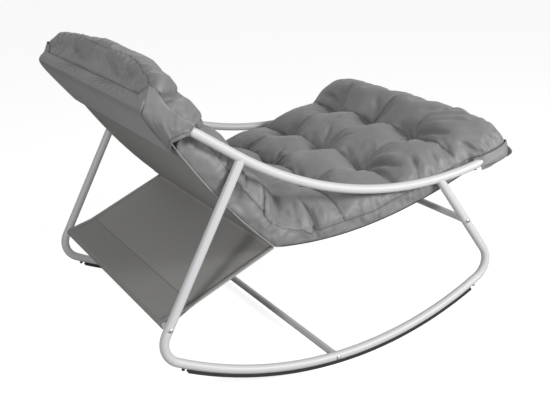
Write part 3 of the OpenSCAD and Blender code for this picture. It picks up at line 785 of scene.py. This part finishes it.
class RockerPaintSettings(bpy.types.PropertyGroup):
    frame_colour: colour_setting("Frame colour", "Colour of the powder coat", (0.78, 0.78, 0.79))
    bolt_colour: colour_setting("Bolt colour", "Colour of the crossbar bolts", (0.62, 0.62, 0.63))


class RockerClothSettings(bpy.types.PropertyGroup):
    cushion_colour: colour_setting("Cushion colour", "Colour of the cushion's cover", (0.268, 0.268, 0.271))
    sling_colour: colour_setting("Sling colour", "Colour of the sling's yarn", (0.45, 0.445, 0.43))


class RockerCushionSettings(bpy.types.PropertyGroup):
    puff: size_setting("Puff", "Height of a puff above the sling", 102.0, 80.0, 150.0)
    tuft: size_setting("Tuft", "Height of a sewn tuft above the sling", 58.0, 30.0, 80.0)
    row_dip: size_setting("Row crease", "Depth of the crease along a row of tufts", 34.0, 0.0, 60.0)
    column_dip: size_setting("Column crease", "Depth of the crease between columns", 20.0, 0.0, 60.0)
    seat_pitch: size_setting("Seat pitch", "Run between rows of tufts on the seat", 205.0, 150.0, 260.0)
    back_pitch: size_setting("Back pitch", "Run between rows of tufts on the back", 190.0, 150.0, 260.0)
    tuft_pitch: size_setting("Tuft pitch", "Distance between the tufts of a row", 217.0, 150.0, 260.0)
    pressure: size_setting("Pressure", "Pressure of the filling", 6.0, 0.0, 20.0, "")
    growth: size_setting(
        "Ease", "Share by which the cover is larger than the filling needs", 0.07, 0.0, 0.2, "")
    rows: IntProperty(name="Rows", description="Mesh rows along the cushion", default=210, min=40, max=320)
    columns: IntProperty(
        name="Columns", description="Mesh columns across the cushion", default=128, min=24, max=200)


class RockerStageSettings(bpy.types.PropertyGroup):
    key_power: FloatProperty(name="Key light", description="Power of the main soft light", default=77.0,
                             min=0.0, max=1000.0, unit="POWER")
    sky: FloatProperty(name="Sky", description="Strength of the even light from all round", default=0.16,
                       min=0.0, max=2.0)


# ---- operators


class ROCKER_OT_frame(bpy.types.Operator):
    """Paint the bent tubes, rails, hoops and crossbars"""

    bl_idname = "rocker.frame"
    bl_label = "Frame paint"

    def execute(self, context):
        colour = tuple(context.scene.rocker_paint.frame_colour)
        white = finish_hard("white powder coat", (900.0, 2.0, 0.5), (14.0, 3.0, 0.6), (0.10, 0.0004),
                            (shade(colour, 0.965), colour), (0.34, 0.12), IOR=1.5)
        dress(white, "right_rocker_tube", "left_rocker_tube", "right_seat_rail", "left_seat_rail",
              "head_hoop", "foot_hoop", "rear_crossbar", "low_crossbar", "front_crossbar",
              "head_lock_screws")
        return {"FINISHED"}


class ROCKER_OT_fasteners(bpy.types.Operator):
    """Finish the bolts, plugs and screw caps"""

    bl_idname = "rocker.fasteners"
    bl_label = "Fasteners"

    def execute(self, context):
        steel = finish_steel("bolt steel", tuple(context.scene.rocker_paint.bolt_colour), 0.9, 0.28)
        black = finish_steel("black cap", (0.02, 0.02, 0.021), 0.0, 0.4)
        dress(steel, "rear_bar_bolts", "low_bar_bolts", "front_bar_bolts")
        dress(black, "rear_bar_plugs", "low_bar_plugs", "front_bar_plugs", "foot_lock_screws")
        return {"FINISHED"}


class ROCKER_OT_strips(bpy.types.Operator):
    """Finish the rubber runner strips and their end stops"""

    bl_idname = "rocker.strips"
    bl_label = "Runner strips"

    def execute(self, context):
        rubber = finish_hard("runner rubber", (700.0, 3.0, 0.6), (35.0, 5.0, 0.65), (0.35, 0.0006),
                             ((0.016, 0.016, 0.018), (0.045, 0.045, 0.048)), (0.62, 0.2))
        dress(rubber, "right_rocker_strip", "left_rocker_strip", "rear_strip_stops", "front_strip_stops")
        return {"FINISHED"}


# Settings of the cover's cloth, the frames that puff it up and how far a vertex may move in metres
CLOTH = {
    "quality": 5, "mass": 0.25, "tension_stiffness": 14, "compression_stiffness": 9, "shear_stiffness": 5,
    "bending_stiffness": 0.4, "air_damping": 1.0, "use_pressure": True, "vertex_group_mass": "held",
    "pin_stiffness": 2.0,
}
PUFF_FRAMES = 20
PUFF_MOST = 0.030


def inflate(piece, held, pressure, growth):
    """Puff a closed cover up with cloth simulation; held maps vertex to how firmly it is sewn."""
    start = [v.co.copy() for v in piece.data.vertices]
    group = piece.vertex_groups.new(name="held")
    for vert, weight in held.items():
        group.add([vert], weight, "REPLACE")
    cloth = piece.modifiers.new("cloth", "CLOTH")
    for key, value in CLOTH.items():
        setattr(cloth.settings, key, value)
    cloth.settings.uniform_pressure_force = pressure
    cloth.settings.shrink_min = -growth
    cloth.settings.effector_weights.gravity = 0
    cloth.collision_settings.use_collision = False
    cloth.collision_settings.use_self_collision = False
    cloth.point_cache.frame_start = 1
    cloth.point_cache.frame_end = PUFF_FRAMES
    scene = bpy.context.scene
    for step in range(1, PUFF_FRAMES + 1):
        scene.frame_set(step)
    bake_modifiers(piece)
    scene.frame_set(1)
    for vert, was in zip(piece.data.vertices, start):
        moved = vert.co - was
        if moved.length > PUFF_MOST:
            vert.co = was + moved * (PUFF_MOST / moved.length)
    piece.vertex_groups.clear()


def keep_off_rails(piece):
    """Push any vertex that lies in a rail out to its surface."""
    radius = MM * (TUBE_D / 2 + 1.0)
    line = [RAIL_HEAD_END] + [rail_at(a) for a in spread(-RAIL_REAR, RAIL_FRONT, 40)]
    for y in (-FRAME_W / 2, FRAME_W / 2):
        centre = [REST @ Vector((p.x, y, p.y)) for p in line]
        pairs = [(a.xz, b.xz) for a, b in zip(centre, centre[1:])]
        for vert in piece.data.vertices:
            across = vert.co.y - centre[0].y
            if abs(across) > radius:
                continue
            for a, b in pairs:
                t = (vert.co.xz - a).dot(b - a) / (b - a).length_squared
                if -0.02 < t < 1.02:
                    off = vert.co.xz - (a + (b - a) * t)
                    away = Vector((off.x, across, off.y))
                    if away.length < radius:
                        vert.co += away * (radius / max(away.length, 1e-6)) - away
                    break


# Folds of the cover as (points as run and arc across, depth, width); below zero depth is a ridge
FOLDS = (
    (((-120, -368), (-103, -412), (-82, -440)), 15, 8),
    (((-150, -352), (-128, -398), (-108, -424)), -6, 13),
    (((92, -340), (110, -379), (114, -412), (121, -452)), 17, 8),
    (((66, -352), (84, -385), (92, -420)), -7, 14),
    (((140, -350), (150, -392), (146, -425)), -8, 15),
    (((60, -330), (100, -322), (124, -330)), 8, 8),
    (((10, -372), (30, -392), (50, -412)), 6, 8),
    (((-30, -380), (-18, -402), (-8, -420)), 5, 7),
    (((-60, -392), (-44, -412)), 5, 7),
    (((180, -380), (196, -404)), 4, 8),
    (((414, -228), (440, -275), (462, -345)), 14, 9),
    (((440, -232), (470, -285), (492, -340)), -7, 15),
    (((392, -262), (414, -310), (424, -352)), 6, 8),
    (((622, -236), (646, -290), (660, -345)), 12, 9),
    (((640, -214), (668, -262), (684, -310)), -5, 14),
    (((600, -240), (604, -292), (590, -340)), 7, 8),
    (((660, -240), (700, -300), (722, -352)), 5, 7),
    (((684, -232), (724, -300), (742, -352)), 5, 7),
    (((690, -160), (724, -230), (742, -290)), 4, 7),
    (((690, -345), (712, -385), (735, -420)), 6, 7),
    (((676, -368), (700, -396), (716, -425)), 5, 6),
    (((660, -385), (676, -420)), 5, 7),
    (((503, -350), (491, -390), (468, -418)), 10, 8),
    (((524, -352), (512, -395), (492, -425)), -5, 11),
    (((566, -362), (556, -392), (544, -420)), 8, 7),
    (((596, -368), (588, -400), (578, -425)), 5, 7),
    (((640, 236), (655, 270), (660, 330)), 10, 9),
    (((648, 14), (672, 34), (690, 60)), 7, 9),
    (((650, -14), (676, -26), (700, -30)), 8, 9),
    (((430, 26), (470, 40), (500, 62)), 6, 8),
    (((436, -20), (472, -44), (498, -80)), 6, 8),
    (((236, 20), (270, 36), (300, 50)), 6, 8),
    (((-545, -440), (-522, -430), (-502, -410), (-484, -382), (-470, -340), (-458, -290)), 20, 8),
    (((-540, -410), (-524, -385), (-506, -350)), -7, 11),
    (((-498, -440), (-478, -412), (-462, -384)), -7, 13),
    (((-470, -436), (-462, -414)), 5, 7),
    (((-430, -430), (-416, -398), (-402, -372)), 7, 9),
    (((-352, -424), (-340, -396)), 5, 8),
)
# Gathers of the head end, as the place of the pinch and where each fold's top lies, in millimetres across
GATHERS = (
    (66, ((250, 7), (206, 9), (166, 11), (124, 9), (82, 11), (36, 8))),
    (-236, ((-28, 7), (-84, 10), (-130, 12), (-176, 10), (-222, 12), (-272, 10), (-322, 7))),
    (-352, ((-330, 6), (-374, 8), (-410, 6))),
)
FAN_LEAST, FAN_WIDTH = 4.0, 13.0
# How far a tuft's wrinkles reach, and the depths of its star, its creases and the puckers by a seam
TUFT_REACH = 110
STAR_DEPTH, ROW_CREASE, COLUMN_CREASE, SEAM_PUCKER = 4.6, 9.0, 5.0, 3.6


def step_array(x):
    x = np.clip(x, 0.0, 1.0)
    return x * x * (3 - 2 * x)


def bump_array(x):
    return np.exp(-x ** 2)


def patch_noise(x, y, seed):
    """Smooth random heights from -1 to 1 over the plane."""
    xi, yi = np.floor(x), np.floor(y)
    u, v = step_array(x - xi), step_array(y - yi)

    def corner(i, j):
        h = np.sin((xi + i) * 127.1 + (yi + j) * 311.7 + seed * 74.7) * 43758.5453
        return (h - np.floor(h)) * 2 - 1

    near = corner(0, 0) * (1 - u) + corner(1, 0) * u
    far = corner(0, 1) * (1 - u) + corner(1, 1) * u
    return near * (1 - v) + far * v


def read(items, key, size=1, kind=np.float32):
    """A property of all items as one flat array."""
    values = np.empty(len(items) * size, dtype=kind)
    items.foreach_get(key, values)
    return values


def fold_line(points, x, y):
    """Distance from a line of given points, and a taper towards its ends."""
    best, taper = np.full(x.shape, 1e9), np.zeros(x.shape)
    total = sum(math.dist(a, b) for a, b in zip(points, points[1:]))
    done = 0.0
    for (x0, y0), (x1, y1) in zip(points, points[1:]):
        length = math.dist((x0, y0), (x1, y1))
        t = np.clip(((x - x0) * (x1 - x0) + (y - y0) * (y1 - y0)) / length ** 2, 0, 1)
        away = np.hypot(x - x0 - t * (x1 - x0), y - y0 - t * (y1 - y0))
        along = (done + t * length) / total
        nearer = away < best
        taper = np.where(nearer, np.clip(4 * along * (1 - along) + 0.25, 0, 1), taper)
        best = np.where(nearer, away, best)
        done += length
    return best, taper


def tuft_wrinkles(lift, form, q, y, off):
    """Wrinkles along each row's crease, folds that fan out from its tufts and sharp creases between them."""
    d = np.abs(q)
    for part in (form.back, form.seat):
        mine = (q < 0) == (part.side < 0)
        for row in range(1, part.rows + 1):
            dq = d - row * part.pitch
            near = mine & (off > 0) & (np.abs(dq) < TUFT_REACH)
            line = np.exp(-np.abs(dq) / 26) * patch_noise(y * 0.075, dq * 0.02, row * 5.0)
            lift += near * 2.0 * line * step_array(off / 25)
            for col in (-1, 0, 1):
                dy = y - col * form.s.tuft_pitch
                r = np.hypot(dq, dy) + 1e-6
                c, s = dq / r, dy / r
                star = patch_noise(c * 2.6 + row * 7.3, s * 2.6 + col * 5.1 + part.side, 2.0)
                star = star + 0.7 * patch_noise(c * 5.2 + row * 3.1, s * 5.2 + col * 2.3, 3.0)
                lift += near * STAR_DEPTH * star * bump_array(r / 50) * step_array(r / 13)
                lift -= near * ROW_CREASE * bump_array(dq / 5.0) * bump_array(dy / 58)
                lift -= near * COLUMN_CREASE * bump_array(dy / 5.0) * bump_array(dq / 40)


def end_gathers(lift, form, q, y, off, by_end):
    """Gathers that fan out from the head pocket's pinches over the back's end."""
    rise = off - UNDER
    at_end = (q < 0) & ((form.back.last - np.abs(q)) < 120) & (rise > 0) & by_end
    for pinch, folds in GATHERS:
        for top, height in folds:
            fanned = np.sqrt(np.clip(rise / 95, 0, 1.3))
            centre = pinch + (top - pinch) * fanned
            width = np.maximum(FAN_LEAST, FAN_WIDTH * fanned)
            shape = step_array((rise + 4) / 16) * bump_array((rise - 36) / 52)
            lift += at_end * height * shape * bump_array((y - centre) / width)
        lift -= at_end * 5.0 * bump_array((y - pinch) / 42) * np.exp(-rise / 22)


def crumple(piece, form):
    """Wrinkle the cover: folds round each tuft, puckers along creases and rims, and listed folds."""
    mesh = piece.data
    q, y = (read(mesh.attributes[name].data, "value").astype(float) for name in ("run", "across"))
    off = np.zeros(len(mesh.vertices))
    corners = read(mesh.loops, "vertex_index", kind=np.int32)
    off[corners] = read(mesh.uv_layers["Seam"].data, "uv", 2)[1::2] / MM
    back, d, on_top = q < 0, np.abs(q), off > 0
    by_end = np.where(back, form.back.last, form.seat.last) - d < CUSHION_HALF - np.abs(y)
    lift = np.zeros(len(off))
    tuft_wrinkles(lift, form, q, y, off)
    waves = patch_noise(q * 0.011 + y * 0.006, y * 0.021 - q * 0.012, 1.5)
    lift += on_top * 1.6 * waves * step_array(off / 40)
    lift += on_top * 0.7 * patch_noise(q * 0.045 + y * 0.02, y * 0.05 - q * 0.03, 6.5)
    along = np.where(by_end, y, q)
    pucker = patch_noise(along * 0.070, off * 0.012, 4.4) + 0.6 * patch_noise(along * 0.15, off * 0.02, 9.1)
    depth = SEAM_PUCKER - 1.8 * by_end
    lift += depth * pucker * np.exp(-np.abs(off) / 28) * step_array((np.abs(off) + 1.5) / 9)
    # The band is smooth where a pocket covers it, and at the end's corners
    pocket_from = np.where(back, form.back.length - 112, form.seat.length - 100)
    lift[(off < 0) & ~by_end & (pocket_from < d)] = 0.0
    lift[by_end & (off < 2) & (np.abs(y) > 385)] = 0.0
    arc = np.where(by_end, y, np.copysign(np.maximum(np.abs(y), 430 - off), y))
    for points, depth, width in FOLDS:
        away, taper = fold_line(points, q, arc)
        lift -= depth * taper * bump_array(away / width) * (off > UNDER + 2)
    end_gathers(lift, form, q, y, off, by_end)
    lift[off < UNDER + 2] = 0.0
    places = read(mesh.vertices, "co", 3)
    places += read(mesh.vertices, "normal", 3) * np.repeat(lift * MM, 3).astype(np.float32)
    mesh.vertices.foreach_set("co", places)
    mesh.update()


class ROCKER_OT_cushion(bpy.types.Operator):
    """Build the tufted cushion and puff it up"""

    bl_idname = "rocker.cushion"
    bl_label = "Cushion"

    def held_verts(self, form, runs, places, heights, index):
        """How firmly each vertex is sewn or rests: base, rims and tufts, less so the creases by a tuft."""
        held = {}
        for (i, j, k), vert in index.items():
            q, v, w = runs[i], places[j], heights[k]
            part, d = form.part(q), abs(q)
            wide = part.wide(d)
            rim = i in (0, len(runs) - 1) or j in (0, len(places) - 1)
            if w == 0:
                held[vert] = 1.0
            elif rim and w == 1:
                held[vert] = 0.8 + 0.2 * wide
            elif rim:
                held[vert] = max(0.02, wide) if j in (0, len(places) - 1) else 0.25
            else:
                y = v * CUSHION_HALF
                row, col = round(d / part.pitch), round(y / form.s.tuft_pitch)
                if row and row * part.pitch < part.length - 0.4 * part.pitch and abs(col) < 2:
                    dq, dy = abs(d - row * part.pitch), abs(y - col * form.s.tuft_pitch)
                    firm = max(math.exp(-((dq * dq + dy * dy) / 170.0) ** 1.5),
                               0.55 * math.exp(-(dq / 7) ** 2 - (dy / 62) ** 2),
                               0.3 * math.exp(-(dy / 7) ** 2 - (dq / 45) ** 2))
                    if firm > 0.02:
                        held[vert] = firm
        return held

    def execute(self, context):
        settings = context.scene.rocker_cushion
        form = CushionForm(settings)
        share = 1
        runs = spread(-form.back.last, form.seat.last, settings.rows // share)
        across = spread(-1, 1, settings.columns // share)
        places = [math.copysign(1 - (1 - abs(x)) ** 1.3, x) for x in across]
        heights = spread(0, 1, BAND_ROWS)
        bm, index = box_shell(runs, places, heights, form.place)
        bmesh.ops.recalc_face_normals(bm, faces=bm.faces)
        cloth = finish_cushion_cloth(tuple(context.scene.rocker_cloth.cushion_colour))
        held = self.held_verts(form, runs, places, heights, index)
        bm.verts.index_update()
        held = {v.index: w for v, w in held.items()}
        piece = new_piece("tufted_cushion", bm, cloth)
        inflate(piece, held, settings.pressure, settings.growth)
        keep_off_rails(piece)
        soft = piece.modifiers.new("soft", "SUBSURF")
        soft.levels = soft.render_levels = 1
        bake_modifiers(piece)
        crumple(piece, form)
        keep_off_rails(piece)
        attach(piece, "root")
        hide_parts("cushion_seat", "cushion_back")
        return {"FINISHED"}


class ROCKER_OT_sling(bpy.types.Operator):
    """Stretch the woven sling between the two hoops, with its hems"""

    bl_idname = "rocker.sling"
    bl_label = "Sling"

    def execute(self, context):
        colour = tuple(context.scene.rocker_cloth.sling_colour)
        radius, depth = HOOP_D / 2 + SLEEVE_ROOM, 32.0
        head = sleeve_loop(HEAD_BAR, sling_dir(-BACK_LEN), radius, depth, 22.0, 1.9)[::-1]
        foot = sleeve_loop(FOOT_BAR, -sling_dir(SEAT_LEN), radius, depth, 22.0, -1.9)
        runs = spread(-BACK_LEN + depth, SEAT_LEN - depth, 120)
        path = head + [sling_point(q) for q in runs[1:-1]] + foot
        start, total = way_along(head)[-1], way_along(path)[-1]

        def past_sleeve(s):
            return min(s, total - s) - start

        def half(s):
            return SLING_HALF - 20 * (1 - smooth_step((past_sleeve(s) - 12) / 26))

        def sag(s, v):
            return -4.0 * (1 - v ** 4) * smooth_step(past_sleeve(s) / 150)

        bm, length, area = ribbon(path, half, 40, sag)
        sling = thicken(new_piece("woven_sling", bm, finish_sling_weave(colour)), SHEET_T)
        line = [(sling_point(q), -normal_of(sling_dir(q))) for q in runs[5:-5]]
        # The hems are painted dark from the fold along the seat: painted shade beneath it
        edge = finish_sling_weave(colour, "sling hem", shaded_from=FOLD.x * MM)
        hems = hem_tapes("sling_hems", line, edge, 20, 0.6, 1.2)
        hang_sheet(sling, hems, "seat_sling", length, area)
        return {"FINISHED"}


class ROCKER_OT_panel_cloth(bpy.types.Operator):
    """Hang the panel that pulls the sling's fold back to the rear crossbar"""

    bl_idname = "rocker.panel_cloth"
    bl_label = "Rear panel"

    def execute(self, context):
        up = -sling_dir(-6.0)
        top = FOLD - normal_of(sling_dir(-6.0)) * 2.7
        run = (top - REAR_BAR).normalized()
        sleeve = sleeve_loop(REAR_BAR, run, BAR_D / 2 + SLEEVE_ROOM, 78.0, 14.0, 1.8)
        path = [top + up * u for u in (26, 18, 10, 4)]
        path += [top.lerp(sleeve[0], t) for t in spread(0.01, 1, 30)[:-1]] + sleeve

        def half(s):
            return SLING_HALF - 2.5 * math.sin(math.pi * min(1.0, s / 340.0))

        def slack(s, v):
            return -3.0 * math.sin(math.pi * min(1.0, max(0.0, (s - 40) / 260))) * (1 - v * v)

        bm, length, area = ribbon(path, half, 40, slack)
        colour = tuple(context.scene.rocker_cloth.sling_colour)
        weave = finish_sling_weave(colour, "panel weave", seam_at=way_along(path[:34])[-1] * MM)
        panel = thicken(new_piece("rear_panel_cloth", bm, weave), SHEET_T)
        flat = path[4:36]
        normals = [path_normal(flat, i) for i in range(len(flat))]
        line = [(p, n if n.y > 0 else -n) for p, n in zip(flat, normals)]
        hems = hem_tapes("panel_hems", line, weave, 18, 0.4, 0.9)
        hang_sheet(panel, hems, "rear_panel", length, area)
        return {"FINISHED"}


class ROCKER_OT_head_pocket(bpy.types.Operator):
    """Sew the gathered pocket that holds the cushion on the head hoop"""

    bl_idname = "rocker.head_pocket"
    bl_label = "Head pocket"

    def execute(self, context):
        cloth = finish_cushion_cloth(tuple(context.scene.rocker_cloth.cushion_colour), "pocket cloth", True)
        form = CushionForm(context.scene.rocker_cushion)
        edges = pocket_edges(pocket_tops(form, form.back, 121.0), (
            (0, (122, 20, 450.5), (121, 2, 450.5), (118, -15, 450)),
            (0.12, (90, 16, 453), (94, -8, 453), (104, -31, 450.5)),
            (0.24, (52, 18, 455), (62, -17, 451), (97, -47, 441)),
            (0.33, (20, 9, 449), (31, -23, 443), (106, -60, 427)),
            (0.42, (-8, 0, 436), (9, -29, 428), (122, -69, 403)),
            (0.52, (-19, -5, 398), (1, -28, 390), (132, -72, 368)),
            (1, (-20, -6, 0), (0, -28, 0), (136, -72, 0))))
        near = gathers(3, -420, 440, 46, 11.0)
        wide = gathers(8, -440, 440, 14, 40.0)

        def fans(y, s):
            lift = 0.0
            for pinch, folds in GATHERS:
                for top, height in folds:
                    fanned = math.sqrt(min(1.2, s / 60))
                    centre = pinch + (top - pinch) * fanned
                    width = max(FAN_LEAST, FAN_WIDTH * fanned)
                    lift += 0.75 * height * math.exp(-((y - centre) / width) ** 2)
            return lift * smooth_step(s / 12) * math.exp(-((s - 18) / 30) ** 2)

        def ripple(y, a, t):
            seam = math.exp(-(t / 0.16) ** 2)
            body = math.sin(math.pi * min(1, t * 1.1)) * 0.35
            hem = math.exp(-((1 - t) / 0.1) ** 2)
            back = smooth_step((a - 0.36) / 0.1)
            soft = noise.noise(Vector((a * 16.0, t * 3.4, 5.1)))
            soft += 0.5 * noise.noise(Vector((a * 34.0, t * 6.0, 2.2)))
            sides = (1 - back) * 4.0 * soft * math.sin(math.pi * min(1, t * 1.05))
            return back * (near(y) * 0.8 * seam + fans(y, t * 230) + wide(y) * 1.8 * body) + sides - 0.5 * hem

        sew_pocket("head_pocket", cloth, "head_hoop", *pocket_grid(form.back, edges, 400, 36, ripple, 12.0))
        return {"FINISHED"}


class ROCKER_OT_foot_pocket(bpy.types.Operator):
    """Sew the pocket that holds the cushion on the foot hoop"""

    bl_idname = "rocker.foot_pocket"
    bl_label = "Foot pocket"

    def execute(self, context):
        cloth = bpy.data.materials["pocket cloth"]
        form = CushionForm(context.scene.rocker_cushion)
        edges = pocket_edges(pocket_tops(form, form.seat, 99.0), (
            (0, (99, -8, 448), (98, -13, 448), (97, -19, 447)),
            (0.12, (70, -3, 450), (70, -11, 450), (72, -21, 446)),
            (0.24, (38, 2, 451), (40, -12, 451), (50, -22, 440)),
            (0.33, (8, 6, 450), (12, -12, 450), (44, -23, 428)),
            (0.42, (-12, 6, 436), (-4, -15, 432), (50, -24, 405)),
            (0.52, (-18, 2, 405), (-8, -17, 402), (58, -25, 375)),
            (1, (-19, 1, 0), (-9, -18, 0), (62, -25, 0))))
        near = gathers(11, -440, 440, 40, 12.0)

        def ripple(y, a, t):
            seam = math.exp(-(t / 0.22) ** 2)
            back = smooth_step((a - 0.3) / 0.1)
            soft = noise.noise(Vector((y * 0.014, t * 2.0, 1.7 + a * 4)))
            return back * near(y) * 1.3 * seam + 1.6 * soft * math.sin(math.pi * t)

        sew_pocket("foot_pocket", cloth, "foot_hoop", *pocket_grid(form.seat, edges, 200, 22, ripple, 4.0))
        return {"FINISHED"}


WHITE = (1.0, 1.0, 1.0, 1.0)
FLOOR_GREY, FLOOR_GLOW, FLOOR_RADIUS = 0.50, 0.86, 30.0
# Lamps: name, place and size in metres, and share of the main light's power
LAMPS = (
    ("key", (1.5, -3.0, 1.7), 1.1, 1.0),
    ("fill", (-2.5, -2.2, 1.9), 0.7, 0.44),
    ("top", (0.6, 0.9, 3.2), 2.2, 0.08),
)
# The photo's camera, solved from the tubes: turn and tilt, focal length in pixels, place in the side view
PHOTO_W = 550
CAMERA_TURN, CAMERA_FOCAL = (math.radians(28.33), math.radians(17.48)), 930.0
CAMERA_PLACE = Vector((-1228.5, -2430.3, 1204.0))


class ROCKER_OT_stage(bpy.types.Operator):
    """Set the floor, lights and camera"""

    bl_idname = "rocker.stage"
    bl_label = "Stage"

    def execute(self, context):
        settings = context.scene.rocker_stage
        self.floor()
        self.sky(settings.sky)
        self.lights(settings.key_power)
        self.camera()
        context.scene.view_settings.view_transform = "Standard"
        return {"FINISHED"}

    def floor(self):
        """A white floor that only shows the chair's shadow."""
        r = Recipe("studio floor")
        matt = r.add("BsdfDiffuse", Color=(*[FLOOR_GREY] * 3, 1.0))
        glow = r.add("Emission", Color=WHITE, Strength=r.add("LightPath") * FLOOR_GLOW)
        bm = bmesh.new()
        bmesh.ops.create_circle(bm, cap_ends=True, segments=96, radius=FLOOR_RADIUS)
        mesh = bpy.data.meshes.new("floor")
        bm.to_mesh(mesh)
        bm.free()
        mesh.materials.append(r.finish(r.add("AddShader", i0=matt, i1=glow)))
        floor = bpy.data.objects.new("floor", mesh)
        floor.location.z = -0.0006
        bpy.context.scene.collection.objects.link(floor)

    def sky(self, strength):
        world = bpy.data.worlds.new("studio")
        bpy.context.scene.world = world
        world.use_nodes = True
        tree = world.node_tree
        tree.nodes.clear()
        path = tree.nodes.new("ShaderNodeLightPath")
        seen = Wire(tree, path.outputs["Is Camera Ray"])
        gloss = Wire(tree, path.outputs["Is Glossy Ray"])
        through = Wire(tree, path.outputs["Is Transmission Ray"])
        white = seen.at_least(gloss * 0.72).at_least(through * 0.8)
        level = white + (1.0 - white) * strength
        back = tree.nodes.new("ShaderNodeBackground")
        back.inputs["Color"].default_value = WHITE
        tree.links.new(level.socket, back.inputs["Strength"])
        tree.links.new(back.outputs[0], tree.nodes.new("ShaderNodeOutputWorld").inputs[0])

    def lights(self, power):
        for name, place, size, share in LAMPS:
            data = bpy.data.lights.new(name, "AREA")
            data.shape = "DISK"
            data.size = size
            data.energy = power * share
            lamp = bpy.data.objects.new(name, data)
            lamp.location = place
            lamp.rotation_euler = (Vector((0, 0, 0.4)) - Vector(place)).to_track_quat("-Z", "Y").to_euler()
            bpy.context.scene.collection.objects.link(lamp)

    def camera(self):
        yaw, pitch = CAMERA_TURN
        look = Vector((math.sin(yaw) * math.cos(pitch), math.cos(yaw) * math.cos(pitch), -math.sin(pitch)))
        right = Vector((math.cos(yaw), -math.sin(yaw), 0))
        up = right.cross(look)
        turn = Matrix((right, up, -look)).transposed()
        data = bpy.data.cameras.new("camera")
        data.sensor_fit = "HORIZONTAL"
        data.sensor_width = 36.0
        data.lens = CAMERA_FOCAL * data.sensor_width / PHOTO_W
        data.clip_end = 100.0
        camera = bpy.data.objects.new("camera", data)
        bpy.context.scene.collection.objects.link(camera)
        lean = Matrix.Rotation(REST_LEAN, 3, "Y")
        camera.matrix_world = Matrix.Translation(REST @ CAMERA_PLACE) @ (lean @ turn).to_4x4()
        bpy.context.scene.camera = camera


class ROCKER_PT_panel(bpy.types.Panel):
    bl_label = "Padded tube rocker"
    bl_idname = "ROCKER_PT_panel"
    bl_space_type = "VIEW_3D"
    bl_region_type = "UI"
    bl_category = "Rocker"

    def draw(self, context):
        column = self.layout.column()
        for settings in (context.scene.rocker_paint, context.scene.rocker_cloth,
                         context.scene.rocker_cushion, context.scene.rocker_stage):
            for key in settings.__annotations__:
                column.prop(settings, key)
        for name in STEPS:
            column.operator("rocker." + name)


STEPS = ("stage", "frame", "fasteners", "strips", "cushion", "sling", "panel_cloth", "head_pocket",
         "foot_pocket")
SETTINGS = {
    "rocker_paint": RockerPaintSettings,
    "rocker_cloth": RockerClothSettings,
    "rocker_cushion": RockerCushionSettings,
    "rocker_stage": RockerStageSettings,
}
CLASSES = (
    *SETTINGS.values(),
    ROCKER_OT_frame,
    ROCKER_OT_fasteners,
    ROCKER_OT_strips,
    ROCKER_OT_cushion,
    ROCKER_OT_sling,
    ROCKER_OT_panel_cloth,
    ROCKER_OT_head_pocket,
    ROCKER_OT_foot_pocket,
    ROCKER_OT_stage,
    ROCKER_PT_panel,
)


def register():
    for cls in CLASSES:
        bpy.utils.register_class(cls)
    for key, cls in SETTINGS.items():
        setattr(bpy.types.Scene, key, PointerProperty(type=cls))


def unregister():
    for key in SETTINGS:
        delattr(bpy.types.Scene, key)
    for cls in reversed(CLASSES):
        bpy.utils.unregister_class(cls)


def main():
    register()
    for name in STEPS:
        getattr(bpy.ops.rocker, name)()


if __name__ == "__main__":
    main()
